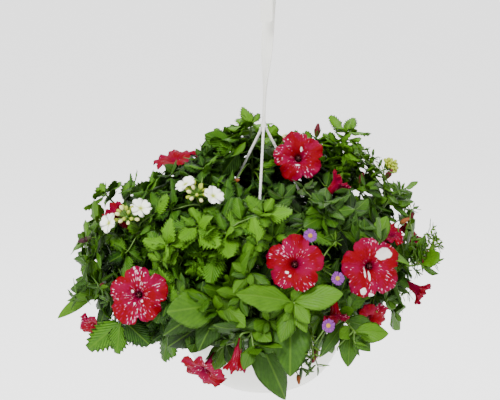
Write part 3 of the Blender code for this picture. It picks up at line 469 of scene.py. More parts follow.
def petal_material(name):
    """Velvety red with pale flecks that run outward and white blotches, with painted shade darkening the
    throat.
    """
    made, sheet, shader = shaded(name, 0.6, Specular_IOR_Level=0.05)
    seat = sheet.marked("flower_place")
    ray = sheet.marked("flower_ray")
    reach, fleck, apart = (sheet.split(sheet.marked("flower_share"), axis) for axis in range(3))
    hue = sheet.noise(seat, 55.0, 2.0)
    red = sheet.mix(PETAL_RED, PETAL_CRIMSON, sheet.ease(hue, 0.42, 0.62))
    veins = sheet.ease(sheet.noise(ray, 3.4, 2.0), 0.55, 0.75) * 0.35
    red = sheet.mix(red, PETAL_VEIN, veins)
    # Painted shade: the red darkens towards the throat, deep in the funnel
    red = sheet.mix(red, PAINTED_THROAT_SHADE, 1 - sheet.ease(reach, 0.06, 0.26))
    clouds = sheet.noise(seat, 42.0, 1.0)
    size = (clouds * 1.7 - 0.52) * (0.20 + fleck * 0.36)
    dots = size - sheet.spots(seat, DOTS_PER_METRE)
    dashes = size * 1.15 - sheet.spots(ray, DASHES_PER_RAY)
    near = sheet.maths("MAXIMUM", dots, dashes)
    red = sheet.mix(red, PETAL_HALO, sheet.ease(near, -0.20, 0.0) * 0.5)
    frayed = (sheet.noise(seat, 120.0) - 0.5) * 0.9
    blotch = 1 - sheet.ease(apart + frayed, 0.9, 1.05)
    mask = sheet.maths("MAXIMUM", sheet.ease(near, 0.0, 0.09) * sheet.ease(reach, 0.13, 0.24), blotch)
    blush = sheet.ease(sheet.noise(seat, 220.0), 0.42, 0.68)
    pale = sheet.mix(FLECK_WHITE, FLECK_PINK, blush)
    pale = sheet.mix(pale, BLOTCH_WHITE, blotch)
    feed(sheet, shader, "Base Color", sheet.mix(red, pale, mask))
    bumped(sheet, shader, sheet.noise(ray, 3.0, 2.0), 0.6)
    return made


def plain_petal(name, inner, outer):
    """A small flower's petal: one colour at its foot and another at its rim."""
    made, sheet, shader = shaded(name, 0.6, Specular_IOR_Level=0.2)
    seat = sheet.marked("leaf_place")
    along = sheet.split(seat, 1)
    colour = sheet.mix(inner, outer, sheet.ease(along, 0.05, 0.45))
    feed(sheet, shader, "Base Color", colour)
    spot = sheet.spot()
    lines = sheet.absolute(sheet.sin(sheet.split(seat, 0) * 14.0))
    bumped(sheet, shader, lines * 0.5 + sheet.noise(spot, 900.0), 0.25)
    return made


def plastic_material(name):
    """Moulded plastic: almost even, faintly rippled, a little dusty in patches."""
    made, sheet, shader = shaded(
        name, 0.34, Specular_IOR_Level=0.5, Subsurface_Weight=0.12, Subsurface_Radius=(1.0, 0.9, 0.8),
        Subsurface_Scale=3.0 * MM,
    )
    spot = sheet.spot()
    feed(sheet, shader, "Base Color", sheet.mix(PLASTIC_WHITE, PLASTIC_DUSTY, sheet.noise(spot, 18.0, 3.0)))
    feed(sheet, shader, "Roughness", 0.28 + sheet.noise(spot, 60.0, 3.0) * 0.18)
    bumped(sheet, shader, sheet.noise(spot, 700.0, 2.0), 0.10, 0.6)
    return made


def mottled(name, colour, shade, roughness=0.6, scale=300.0, detail=3.0, grit=0.5, relief=0.3):
    """Two close tones in fine mottling."""
    made, sheet, shader = shaded(name, roughness)
    grain = sheet.noise(sheet.spot(), scale, detail, grit)
    feed(sheet, shader, "Base Color", sheet.mix(colour, shade, grain))
    bumped(sheet, shader, grain, relief)
    return made


# The last number is the crease: how much painted shade the creases and painted light the fields get, and how
# deep the puffed relief is
PETUNIA_LEAF = leaf_material("petunia_leaf", PETUNIA_GREENS, 7.0, 0.48, 0.12)
VERBENA_LEAF = leaf_material("verbena_leaf", VERBENA_GREENS, 9.0, 0.55, 0.42)
DAISY_LEAF = leaf_material("daisy_leaf", DAISY_GREENS, 3.0, 0.5, 0.0)
GREEN_STEM = stem_material("green_stem")
RED_PETAL = petal_material("red_petal")
WHITE_PETAL = plain_petal("white_petal", (0.45, 0.55, 0.08), (0.84, 0.86, 0.76))
BUD_TIP = plain_petal("bud_tip", (0.12, 0.20, 0.006), (0.30, 0.36, 0.03))
PALE_BUD = plain_petal("pale_bud", (0.20, 0.28, 0.02), (0.62, 0.60, 0.26))
PETUNIA_BUD = plain_petal("petunia_bud", (0.05, 0.09, 0.01), (0.075, 0.003, 0.008))
SPENT_BLOOM = plain_petal("spent_bloom", (0.07, 0.05, 0.01), (0.17, 0.045, 0.008))
DARK_BUD = plain_petal("dark_bud", (0.03, 0.04, 0.01), (0.030, 0.004, 0.010))
MAUVE_PETAL = plain_petal("mauve_petal", (0.24, 0.11, 0.30), (0.19, 0.04, 0.26))
DAISY_DISC = mottled("daisy_disc", (0.36, 0.18, 0.004), (0.50, 0.28, 0.01), 0.7, 900.0)
STAMEN = mottled("stamen", (0.070, 0.002, 0.004), (0.040, 0.004, 0.003))
WHITE_PLASTIC = plastic_material("white_plastic")
POTTING_SOIL = mottled(
    "potting_soil", (0.010, 0.007, 0.004), (0.075, 0.048, 0.028), 0.95, 260.0, 5.0, 0.7, 1.6
)
PERLITE = mottled("perlite", (0.70, 0.68, 0.62), (0.50, 0.48, 0.42), 0.9)


# Leaf patterns: flat, closed lenses in unit size, x across by half widths, y from root to tip


def smooth_outline(s):
    """A petunia leaf's half width: a short winged stalk, then an oval with a blunt point."""
    body = max(0.0, (s - 0.06) / 0.94)
    return max(0.05 * (1 - s), math.sin(math.pi * body ** 0.92) ** 0.78)


def toothed_outline(s):
    """A verbena leaf's envelope: a stalk and a broad base that runs out to a point."""
    body = max(0.0, (s - 0.10) / 0.90)
    return max(0.07 * (1 - s), math.sin(math.pi * body ** 0.74) ** 0.68 * (1.04 - 0.10 * body))


def slim_outline(s):
    """A lobe: slim and blunt at both ends."""
    return math.sin(math.pi * (0.04 + 0.92 * s)) ** 0.6


def sepal_outline(s):
    """A sepal: broadest near its foot, with a rounded tip."""
    return 0.35 + 0.65 * math.sin(math.pi * s ** 1.3) ** 0.8 if s < 0.97 else 0.1


# Leaf patterns: teeth or rows along the rib, columns on each side of it, and thickness
LEAF_KINDS = {
    "petunia": (6, 2, 0.5),
    "petunia_large": (15, 4, 0.6),
    "verbena": (5, 1, 0.5),
    "verbena_large": (8, 2, 0.6),
    "lobe": (3, 1, 0.7),
    "sepal": (5, 1, 0.6),
}


def stations(kind):
    """The rows of a leaf: its share of the length at the rib and at the edge, and its half width."""
    count = LEAF_KINDS[kind][0]
    if "verbena" in kind:
        rows = [(0.02, 0.02, 0.05), (0.12, 0.12, 0.10)]
        for k in range(count):
            notch = 0.17 + 0.80 * k / count
            point = notch + 0.80 / count * 0.55
            rows.append((notch, notch + 0.015, toothed_outline(notch) * 0.74))
            rows.append((point, point + 0.065, toothed_outline(point)))
        return rows
    outline = {"lobe": slim_outline, "sepal": sepal_outline}.get(kind, smooth_outline)
    shares = [(k + 0.5) / count if kind == "lobe" else 0.01 + 0.965 * k / (count - 1) for k in range(count)]
    return [(s, s, outline(s)) for s in shares]


def lens_spots(rows, columns):
    """The corners of a lens between its root and its tip, upper side first: side, row and share across."""
    for side in (1, -1):
        for row in rows:
            for c in range(-columns, columns + 1):
                if side == 1 or abs(c) < columns:
                    yield side, row, c / columns


def lens_faces(rows, columns):
    """The faces from a lens's root to its last row, and that row's corners above and below."""
    wide = 2 * columns + 1

    def top(row, c):
        return 1 + row * wide + c

    def under(row, c):
        if c in (0, wide - 1):
            return top(row, c)
        return rows * wide + row * (wide - 2) + c

    faces = []
    for c in range(wide - 1):
        faces.append((0, top(0, c + 1), top(0, c)))
        faces.append((0, under(0, c), under(0, c + 1)))
        for row in range(rows - 1):
            faces.append((top(row, c), top(row, c + 1), top(row + 1, c + 1), top(row + 1, c)))
            faces.append((under(row, c), under(row + 1, c), under(row + 1, c + 1), under(row, c + 1)))
    return faces, [(top(rows - 1, c), under(rows - 1, c)) for c in range(wide)]


def leaf_pattern(kind, name):
    """One leaf as a closed lens, marked with its place on the leaf for later bending."""
    rows = stations(kind)
    columns = LEAF_KINDS[kind][1]
    places = [(0.0, 0.0, 0.0)]
    for side, (rib_s, edge_s, half), q in lens_spots(rows, columns):
        places.append((q * half, rib_s + (edge_s - rib_s) * abs(q) ** 1.5, side * (1 - q * q)))
    tip = len(places)
    places.append((0.0, 1.0, 0.0))
    faces, ends = lens_faces(len(rows), columns)
    for (a, b), (c, d) in zip(ends, ends[1:]):
        faces += [(tip, a, c), (tip, d, b)]
    return bpy.data.objects.new(name, smooth_mesh(name, places, faces, leaf_place=places))


def pattern_collection():
    """The leaf patterns, named in the order of their kinds."""
    patterns = bpy.data.collections.new("leaf_patterns")
    for index, kind in enumerate(LEAF_KINDS):
        patterns.objects.link(leaf_pattern(kind, f"leaf_pattern_{index}"))
    return patterns


# Geometry trees


def new_tree(name, inputs):
    """The sheet of a new geometry tree, and its named inputs as flows."""
    tree = bpy.data.node_groups.new(name, "GeometryNodeTree")
    tree.interface.new_socket("Geometry", in_out="OUTPUT", socket_type="NodeSocketGeometry")
    tree.interface.new_socket("Geometry", in_out="INPUT", socket_type="NodeSocketGeometry")
    for label, kind in inputs.items():
        tree.interface.new_socket(label, in_out="INPUT", socket_type="NodeSocket" + kind)
    sheet = Sheet(tree)
    entry = tree.nodes.new("NodeGroupInput")
    flows = {socket.name: Flow(sheet, socket) for socket in entry.outputs if socket.name}
    return sheet, flows


def painted(sheet, geometry, flows):
    """Close a tree: its geometry takes the material and leaves."""
    made = sheet.node("GeometryNodeSetMaterial", {}, {0: geometry, "Material": flows["Material"]})
    exit_node = sheet.tree.nodes.new("NodeGroupOutput")
    sheet.tree.links.new(made.socket, exit_node.inputs[0])
    return sheet.tree


def grown(name, mesh, tree, values):
    """The plain mesh that a tree makes of a source mesh."""
    holder = linked(name, mesh)
    modifier = holder.modifiers.new("grow", "NODES")
    modifier.node_group = tree
    for item in tree.interface.items_tree:
        if item.item_type == "SOCKET" and item.in_out == "INPUT" and item.name in values:
            modifier[item.identifier] = values[item.name]
    result = baked(holder)
    result.name = name
    return result


def named(sheet, kind, *labels):
    """Named attributes inside a geometry tree."""
    return [sheet.node("GeometryNodeInputNamedAttribute", {"data_type": kind}, {"Name": n}) for n in labels]


# Waves along a leaf: two of its ruffled edge, and one of the puffed fields between its veins
EDGE_WAVES = 17.0
FINE_EDGE_WAVES = 31.0
FIELD_WAVES = 44.0
EDGE_SWING = 0.12
MOST_TWIST = 1.6


def leaf_tree(patterns):
    """Leaves on points: each pattern is bent along its rib, folded, waved at its edge and turned."""
    sheet, flows = new_tree("leaves", {"Material": "Material"})
    pick = {"Collection": patterns, "Separate Children": True, "Reset Children": True}
    forms = sheet.node("GeometryNodeCollectionInfo", {}, pick)
    seats = {"Points": flows["Geometry"], "Instance": forms, "Pick Instance": True}
    seats["Instance Index"], = named(sheet, "INT", "kind")
    copies = sheet.node("GeometryNodeInstanceOnPoints", {}, seats)
    real = sheet.node("GeometryNodeRealizeInstances", {}, {0: copies})
    seat, root, along, across, normal = named(
        sheet, "FLOAT_VECTOR", "leaf_place", "leaf_root", "leaf_along", "leaf_across", "leaf_normal"
    )
    length, width, droop, fold, wave, phase, thick = named(
        sheet, "FLOAT", "leaf_length", "leaf_width", "leaf_droop", "leaf_fold", "leaf_wave", "leaf_phase",
        "leaf_thick",
    )
    reach, s, side = (sheet.split(seat, axis) for axis in range(3))
    bend = droop * s
    run = length * sheet.sin(bend) / droop
    fall = length * (1 - sheet.cos(bend)) / droop
    up = along * sheet.sin(bend) + normal * sheet.cos(bend)
    twist = (s - 0.3) * wave * MOST_TWIST * sheet.sin(phase * 3.0)
    flat = across * sheet.cos(twist) + up * sheet.sin(twist)
    rise = up * sheet.cos(twist) - across * sheet.sin(twist)
    half = reach * width * 0.5
    spread = sheet.absolute(reach)
    ruffle = sheet.sin(s * EDGE_WAVES + phase) * 0.6 + sheet.sin(s * FINE_EDGE_WAVES + phase * 2.0) * 0.25
    ruffle = ruffle * sheet.ease(s, 0.1, 0.4) * spread * spread * wave * width * EDGE_SWING
    gutter = sheet.absolute(half) * sheet.sin(fold)
    quilt = sheet.sin((s - spread * 0.45) * FIELD_WAVES) * spread * (1.2 - spread) * wave * 0.9
    lift = gutter + ruffle + quilt + side * thick * 0.5
    place = root + along * run - normal * fall + flat * (half * sheet.cos(fold)) + rise * lift
    shaped = sheet.node("GeometryNodeSetPosition", {}, {"Geometry": real, "Position": place * MM})
    return painted(sheet, shaped, flows)


def stem_tree():
    """Round stems along the edges of a mesh, thinned by their own radius attribute."""
    sheet, flows = new_tree("stems", {"Material": "Material", "Sides": "Int"})
    paths = sheet.node("GeometryNodeMeshToCurve", {}, {0: flows["Geometry"]})
    radius, = named(sheet, "FLOAT", "stem_radius")
    sized = sheet.node("GeometryNodeSetCurveRadius", {}, {0: paths, "Radius": radius * MM})
    ring = sheet.node("GeometryNodeCurvePrimitiveCircle", {}, {"Resolution": flows["Sides"], "Radius": 1.0})
    values = {"Curve": sized, "Profile Curve": ring, "Fill Caps": True}
    skin = sheet.node("GeometryNodeCurveToMesh", {}, values)
    scale = skin.socket.node.inputs.get("Scale")
    if scale:
        sheet.tree.links.new(sheet.node("GeometryNodeInputRadius", {}, {}).socket, scale)
    rounded = sheet.node("GeometryNodeSetShadeSmooth", {}, {0: skin})
    return painted(sheet, rounded, flows)


class Leaf:
    """One leaf's root, way, size and bend."""

    def __init__(self, kind, root, direction, facing, length, width, droop=0.5, fold=-0.12):
        self.kind, self.root, self.length, self.width = kind, root, length, width
        self.droop, self.fold, self.wave, self.phase, self.tone = droop, fold, 0.5, 0.0, 0.5
        self.along, self.across, self.normal = axes_for(direction, facing)

    def tip(self):
        run = self.length * math.sin(self.droop) / self.droop
        fall = self.length * (1 - math.cos(self.droop)) / self.droop
        return self.root + self.along * run - self.normal * fall


def leaf_towards(kind, root, tip, facing, width, droop=0.5, fold=-0.12):
    """A leaf whose bent rib ends at the tip."""
    chord = tip - root
    along, across, normal = axes_for(chord, facing)
    lean = droop / 2
    direction = around(along, normal, lean)
    length = chord.length * (lean / math.sin(lean) if lean > 1e-3 else 1.0)
    return Leaf(kind, root, direction, normal, length, width, droop, fold)


def point_mesh(name, leaves):
    """A mesh of one point for each leaf, marked with the leaf's values."""
    mesh = bpy.data.meshes.new(name)
    mesh.from_pydata([leaf.root * MM for leaf in leaves], [], [])
    for field in ("root", "along", "across", "normal"):
        mark(mesh, "leaf_" + field, [getattr(leaf, field) for leaf in leaves])
    for field in ("length", "width", "droop", "fold", "wave", "phase"):
        mark(mesh, "leaf_" + field, [getattr(leaf, field) for leaf in leaves], "FLOAT")
    mark(mesh, "tone", [leaf.tone for leaf in leaves], "FLOAT")
    mark(mesh, "leaf_thick", [LEAF_KINDS[leaf.kind][2] for leaf in leaves], "FLOAT")
    order = list(LEAF_KINDS)
    mark(mesh, "kind", [order.index(leaf.kind) for leaf in leaves], "INT")
    return mesh


def path_mesh(name, paths):
    """A mesh of edges along each path of (points, first radius, last radius)."""
    points, edges, radii = [], [], []
    for path, first, last in paths:
        start = len(points)
        points += [p * MM for p in path]
        edges += [(start + i, start + i + 1) for i in range(len(path) - 1)]
        radii += [first + (last - first) * i / (len(path) - 1) for i in range(len(path))]
    mesh = bpy.data.meshes.new(name)
    mesh.from_pydata(points, edges, [])
    mark(mesh, "stem_radius", radii, "FLOAT")
    return mesh


# The plants' rule, as their solids follow it


def bezier(points, t):
    a, b, c, d = points
    u = 1 - t
    return a * (u ** 3) + b * (3 * u * u * t) + c * (3 * u * t * t) + d * (t ** 3)


def curve_points(controls, count):
    """Evenly stepped points on a curve."""
    return [bezier(controls, i / (count - 1)) for i in range(count)]


def soil_level(point):
    """The soil's height under a point: a low mound."""
    share = math.hypot(point.x, point.y) / RIM_RADIUS
    return SOIL_HEIGHT + MOUND * (1 - share * share)


class Twin:
    """The corners of a plant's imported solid, which show where each of its leaves went."""

    def __init__(self, node):
        corners = [v.co / MM for v in frame["nodes"][node].data.vertices]
        self.tree = KDTree(len(corners))
        for i, corner in enumerate(corners):
            self.tree.insert(corner, i)
        self.tree.balance()

    def holds(self, point, radius=0.0):
        """Whether a corner lies at a radius from a point."""
        return abs(self.tree.find(point)[2] - radius) < SAME_POINT


def shaken(draw, amount):
    """A random vector of up to an amount along each axis."""
    return vec(*(draw.uniform(-1, 1) * amount for _ in range(3)))


class Shoot:
    """One stem with its leaves, buds and flower stalks."""

    def __init__(self, name, tip, leaves, size, aim, seed):
        self.name = name
        self.kind = name.split("_")[0]
        self.tip = tip
        self.count = leaves
        self.size = size
        self.aim = aim or (outward(tip) + vec(0, 0, (tip.z - 170) / 200)).normalized()
        self.draw = random.Random(seed)
        self.twin = Twin(name)
        self.leaves = []
        self.paths = []

    def on_stem(self, t):
        """The stem's middle at a share of its length, and the way it runs there."""
        last = len(self.points) - 1
        index = min(int(t * last), last - 1)
        step = self.points[index + 1] - self.points[index]
        return self.points[index] + step * (t * last - index), step.normalized()

    def drawn(self, t):
        """The stem's middle as it is drawn: its solid's straight stretches, rounded off."""
        return self.on_stem(t)[0].lerp(bezier(self.curve, t), ROUNDING)


def stem_controls(root, tip, aim, sway):
    """A stem that leaves the soil upright and reaches its tip along the aim."""
    span = (tip - root).length
    below = vec(root.x, root.y, soil_level(root) - ROOT_DEPTH)
    rise = ROOT_DEPTH + 0.5 * span
    return (below, below + UP * rise + sway * 0.5, tip - aim * (0.4 * span) + sway, tip)


def draw_stem(shoot):
    """The stem from its root in the soil to its tip, as its solid ran."""
    tip = shoot.tip
    reach = math.hypot(tip.x, tip.y)
    azimuth = math.degrees(math.atan2(tip.x, -tip.y))
    radius = min(ROOT_CIRCLE, 18 + 0.32 * reach + max(0.0, 210 - tip.z) * 0.16)
    for attempt in range(TRIES * 3):
        swing = shoot.draw.uniform(-1, 1) * min(14, attempt * 1.2)
        root = polar(azimuth + swing, radius + shoot.draw.uniform(-1, 1) * attempt * 0.6, 0)
        sway = shaken(shoot.draw, attempt * 2.0)
        nudge = shaken(shoot.draw, attempt * 0.9)
        controls = stem_controls(root, tip + nudge, shoot.aim, sway)
        if shoot.twin.holds(controls[0], STEM_RADIUS):
            break
    shoot.points = curve_points(controls, STEM_POINTS)
    shoot.curve = controls
    shoot.paths.append(([shoot.drawn(i / 20) for i in range(21)], STEM_RADIUS, TWIG_RADIUS))


def draw_stalk(shoot, seat, facing, t, radius=TWIG_RADIUS):
    """The stalk from the stem to the cup or bud at its end."""
    for attempt in range(TRIES * 2):
        start, tangent = shoot.on_stem(max(0.3, t - 0.02 * attempt))
        span = (seat - start).length
        bend = shaken(shoot.draw, attempt * 1.5)
        controls = (start, start + tangent * span * 0.35 + bend, seat - facing * (span * 0.35 + 3), seat)
        points = curve_points(controls, STALK_POINTS)
        if shoot.twin.holds(points[2], radius) or shoot.twin.holds(points[1], radius):
            break
    shoot.paths.append((curve_points(controls, 9), radius, radius))


# Where large leaves start on the stem, their turns round it, how they open, and width by length
LEAF_RULES = {
    "petunia": {"first": 0.40, "spread": (95, -95, 35, -35), "open": (26, 72), "ratio": (0.52, 0.68)},
    "verbena": {"first": 0.42, "spread": (85, -85, 30, -30), "open": (28, 75), "ratio": (0.60, 0.78)},
}


def leaf_direction(shoot, t, turn, opening):
    """The way a leaf leaves the stem, by its turn round the stem from the canopy's outside."""
    point, tangent = shoot.on_stem(t)
    facing = outward(point)
    along, across, normal = axes_for(tangent, facing)
    radial = around(normal, across, math.radians(turn))
    return point, around(along, radial, math.radians(opening)), facing


def draw_leaves(shoot):
    """The large leaves in turn down the stem, each kept where its solid has it."""
    rule = LEAF_RULES[shoot.kind]
    for i in reversed(range(shoot.count)):
        share = (i + 0.5) / shoot.count
        t = min(0.99, rule["first"] + (1.03 - rule["first"]) * share ** 0.8)
        for attempt in range(TRIES):
            turn = rule["spread"][i % 4] + shoot.draw.uniform(-1, 1) * (18 + 4 * attempt)
            low, high = rule["open"]
            opening = high - (high - low) * share ** 2 + shoot.draw.uniform(-14, 14)
            point, direction, facing = leaf_direction(shoot, t, turn, opening)
            tilt = shaken(shoot.draw, 0.3)
            shrink = 1 - 0.035 * attempt
            length = shoot.size * shrink * shoot.draw.uniform(0.8, 1.1) * (1.1 - 0.3 * share)
            width = length * shoot.draw.uniform(*rule["ratio"])
            leaf = Leaf(shoot.kind, point, direction, facing + tilt, length, width,
                        shoot.draw.uniform(0.2, 0.8), -shoot.draw.uniform(0.08, 0.2))
            if shoot.twin.holds(leaf.tip()):
                leaf.kind = shoot.kind + "_large"
                shoot.leaves.append(leaf)
                break


def draw_chosen(shoot, leaves):
    """The large leaves that stand out, each at the place its solid was given."""
    for t, tip, facing, width in leaves:
        root, _ = shoot.on_stem(t)
        leaf = leaf_towards("petunia_large", root, tip, facing, width)
        for attempt in range(TRIES * 3):
            if shoot.twin.holds(leaf.tip()):
                shoot.leaves.append(leaf)
                break
            nudge = shaken(shoot.draw, attempt * 0.4)
            root, _ = shoot.on_stem(t - 0.004 * attempt)
            narrow = width * (1 - 0.01 * attempt)
            leaf = leaf_towards("petunia_large", root, tip + nudge, facing + nudge * 0.03, narrow)


def draw_lobes(shoot):
    """The fine, cut leaves of a daisy spray: slim lobes all round the stem."""
    for i in range(shoot.count):
        share = (i + 0.5) / shoot.count
        for attempt in range(4):
            turn = GOLDEN_ANGLE * i + shoot.draw.uniform(-30, 30)
            opening = shoot.draw.uniform(30, 60)
            point, direction, facing = leaf_direction(shoot, 0.45 + 0.54 * share, turn, opening)
            length = shoot.size * shoot.draw.uniform(0.7, 1.1) * (1 - 0.3 * share)
            leaf = Leaf("lobe", point, direction, facing, length, LOBE_WIDTH, 0.3)
            if shoot.twin.holds(leaf.tip()):
                shoot.leaves.append(leaf)
                break


# Each shoot: its tip, its number of large leaves, their length, and the way its tip points
SHOOTS = {
    # petunias, front
    "petunia_front": (vec(34, -180, 166), 3, 36, None),
    "petunia_low": (vec(-12, -186, 112), 4, 42, vec(0.1, -0.5, -0.85)),
    "petunia_front_left": (vec(-52, -172, 152), 6, 46, vec(-0.3, -0.8, -0.2)),
    "petunia_left": (vec(-198, -86, 150), 10, 48, vec(-0.8, -0.4, 0.2)),
    "petunia_far_left": (vec(-205, -10, 205), 8, 48, None),
    "petunia_top_left": (vec(-88, 30, 262), 7, 48, None),
    "petunia_top": (vec(66, 10, 276), 7, 48, None),
    "petunia_right": (vec(136, -104, 214), 8, 50, None),
    "petunia_far_right": (vec(190, -62, 172), 8, 48, None),
    "petunia_low_right": (vec(98, -164, 126), 7, 46, vec(0.4, -0.75, -0.4)),
    "petunia_crown": (vec(70, -96, 258), 7, 46, None),
    "petunia_top_right": (vec(160, 2, 240), 8, 43, None),
    # petunias, back
    "petunia_back_left": (vec(-96, 140, 232), 6, 52, None),
    "petunia_back_right": (vec(104, 142, 214), 6, 52, None),
    "petunia_back": (vec(6, 186, 146), 6, 52, vec(0, 0.8, -0.3)),
    "petunia_side": (vec(184, 74, 168), 6, 52, None),
    # verbena
    "verbena_left": (vec(-152, -76, 226), 7, 40, None),
    "verbena_upper": (vec(-74, -86, 262), 7, 40, None),
    "verbena_middle_left": (vec(-108, -136, 218), 7, 42, None),
    "verbena_middle": (vec(-42, -138, 234), 8, 42, None),
    "verbena_low_left": (vec(-170, -104, 108), 6, 42, vec(-0.6, -0.5, -0.5)),
    "verbena_top": (vec(-16, 46, 318), 8, 40, None),
    "verbena_top_right": (vec(104, 44, 304), 7, 40, None),
    "verbena_top_left": (vec(-198, 28, 232), 5, 38, None),
    "verbena_back": (vec(4, 128, 258), 6, 42, None),
    "verbena_back_low_left": (vec(-150, 128, 168), 6, 42, None),
    "verbena_back_low_right": (vec(110, 168, 132), 5, 40, None),
    # daisies
    "daisy_spray_front": (vec(66, -152, 204), 14, 20, None),
    "daisy_spray_low": (vec(56, -182, 104), 13, 20, vec(0.1, -0.5, -0.8)),
    "daisy_spray_edge": (vec(214, -24, 182), 14, 22, None),
    "daisy_spray_back": (vec(-52, 172, 186), 12, 20, None),
}

# Each bloom: its shoot, its middle, the way it faces, its radius and how far it is open
BLOOMS = {
    "petunia_bloom_a": ("petunia_top_left", vec(-112, 40, 276), vec(-0.2, -0.1, 0.97), 29, 1.0),
    "petunia_bloom_b": ("petunia_top", vec(42, -18, 292), vec(0.0, -0.85, 0.5), 32, 1.0),
    "petunia_bloom_c": ("petunia_front", vec(34, -168, 208), vec(-0.1, -0.88, 0.45), 33, 1.0),
    "petunia_bloom_d": ("petunia_right", vec(122, -132, 193), vec(0.15, -0.92, 0.35), 35, 1.0),
    "petunia_bloom_e": ("petunia_left", vec(-142, -148, 163), vec(-0.1, -0.93, 0.35), 35, 1.0),
    "petunia_bloom_f": ("petunia_low", vec(-68, -176, 80), vec(-0.45, -0.70, -0.55), 29, 1.0),
    "petunia_bloom_g": ("petunia_low", vec(-30, -184, 96), vec(-0.15, -0.25, -0.95), 20, 0.45),
    "petunia_bloom_h": ("petunia_left", vec(-200, -92, 100), vec(-0.6, -0.6, -0.4), 24, 0.8),
    "petunia_bloom_i": ("petunia_far_left", vec(-178, -34, 222), vec(-0.6, -0.2, 0.75), 24, 0.5),
    "petunia_bloom_j": ("petunia_far_right", vec(148, -66, 214), vec(0.35, -0.3, 0.85), 21, 0.9),
    "petunia_bloom_k": ("petunia_far_right", vec(186, -78, 142), vec(0.75, -0.4, -0.4), 20, 0.6),
    "petunia_bloom_l": ("petunia_low_right", vec(126, -114, 118), vec(0.5, -0.8, -0.25), 26, 1.0),
    "petunia_bloom_m": ("petunia_low_right", vec(82, -150, 138), vec(0.1, -0.6, -0.8), 18, 0.7),
    "petunia_bloom_n": ("petunia_crown", vec(88, -50, 268), vec(0.7, 0.1, 0.7), 20, 0.5),
    "petunia_bloom_o": ("petunia_back_left", vec(-66, 164, 196), vec(-0.25, 0.85, 0.45), 33, 1.0),
    "petunia_bloom_p": ("petunia_back_right", vec(88, 160, 172), vec(0.3, 0.88, 0.35), 34, 1.0),
    "petunia_bloom_q": ("petunia_side", vec(196, 60, 160), vec(0.85, 0.35, 0.3), 32, 1.0),
    "petunia_bloom_r": ("petunia_back", vec(-34, 190, 128), vec(-0.2, 0.95, 0.0), 31, 1.0),
}

# Large leaves by place: share of the stem, tip, facing and width
CHOSEN_LEAVES = {
    "petunia_front": (
        (0.985, vec(-30, -196, 182), vec(0.1, -0.7, 0.7), 36),
        (0.975, vec(88, -182, 178), vec(-0.1, -0.75, 0.65), 31),
        (0.96, vec(10, -192, 196), vec(0.2, -0.9, 0.3), 20),
        (0.96, vec(48, -192, 136), vec(0.0, -0.95, 0.2), 18),
        (0.88, vec(30, -198, 86), vec(0.05, -0.95, 0.3), 46),
    ),
    "petunia_low": (
        (0.80, vec(26, -172, 46), vec(0.25, -0.95, 0.1), 42),
    ),
    "petunia_front_left": (
        (0.93, vec(-106, -188, 158), vec(0.0, -0.85, 0.5), 46),
        (0.80, vec(-112, -168, 122), vec(-0.2, -0.9, 0.3), 34),
        (0.86, vec(-72, -180, 108), vec(-0.1, -0.95, 0.2), 32),
        (0.70, vec(-14, -176, 226), vec(-0.4, -0.85, 0.3), 24),
    ),
    "petunia_left": (
        (0.97, vec(-210, -86, 190), vec(-0.3, -0.7, 0.5), 26),
        (0.95, vec(-244, -86, 110), vec(-0.4, -0.85, 0.3), 15),
        (0.93, vec(-238, -100, 146), vec(-0.3, -0.9, 0.3), 22),
        (0.90, vec(-188, -118, 106), vec(-0.3, -0.9, 0.2), 24),
    ),
    "petunia_far_left": (
        (0.97, vec(-230, -58, 180), vec(-0.3, -0.7, 0.6), 24),
    ),
    "petunia_right": (
        (0.97, vec(170, -122, 190), vec(0.5, -0.5, 0.8), 24),
    ),
    "petunia_low_right": (
        (0.97, vec(142, -154, 120), vec(0.2, -0.8, 0.6), 26),
        (0.95, vec(122, -158, 100), vec(0.2, -0.9, 0.4), 23),
        (0.91, vec(96, -166, 84), vec(0.1, -0.95, 0.2), 24),
        (0.88, vec(64, -174, 100), vec(0.0, -0.95, 0.2), 18),
    ),
}

# Buds: share of the stem where the stalk starts, middle, axis and length
BUDS = {
    "petunia_top_right": (
        (0.80, vec(118, -8, 262), vec(0.2, -0.3, 0.9), 17),
        (0.90, vec(152, -2, 266), vec(0.5, -0.2, 0.8), 16),
    ),
    "petunia_top": ((0.85, vec(66, 34, 312), vec(0.1, 0.0, 1.0), 18),),
    "petunia_far_left": ((0.85, vec(-214, -18, 192), vec(-0.95, -0.1, 0.1), 20),),
    "petunia_far_right": ((0.80, vec(176, -38, 222), vec(0.3, -0.3, 0.9), 15),),
    "petunia_low_right": ((0.70, vec(58, -170, 100), vec(-0.3, -0.5, -0.8), 18),),
    "petunia_left": ((0.85, vec(-184, -124, 166), vec(-0.3, -0.95, 0.3), 13),),
    "petunia_back": ((0.80, vec(40, 186, 176), vec(0.2, 0.9, 0.4), 18),),
}

# Each verbena head: its shoot, its seat, the way it faces, and its florets: turn, reach and lift
HEADS = {
    "verbena_head_left": (
        "verbena_left", vec(-156, -84, 232), vec(-0.2, -0.65, 0.75),
        ((214, 22, 5), (36, 18, 6)),
    ),
    "verbena_head_upper": (
        "verbena_upper", vec(-76, -94, 262), vec(0.0, -0.6, 0.8),
        ((140, 17, 6), (345, 19, 5)),
    ),
    "verbena_head_right": ("verbena_top_right", vec(152, 36, 262), vec(0.7, -0.2, 0.7), ()),
    "verbena_head_back": (
        "verbena_back", vec(20, 138, 262), vec(0.1, 0.7, 0.7),
        ((30, 18, 5), (160, 18, 6), (270, 18, 4)),
    ),
}

# Each daisy: its spray, its seat and the way it faces
DAISIES = {
    "daisy_upper": ("daisy_spray_front", vec(52, -150, 234), vec(0.0, -0.85, 0.55)),
    "daisy_middle": ("daisy_spray_front", vec(82, -166, 190), vec(0.15, -0.92, 0.35)),
    "daisy_low": ("daisy_spray_low", vec(72, -180, 140), vec(0.1, -0.98, 0.2)),
    "daisy_back": ("daisy_spray_back", vec(-30, 164, 208), vec(-0.1, 0.85, 0.5)),
}

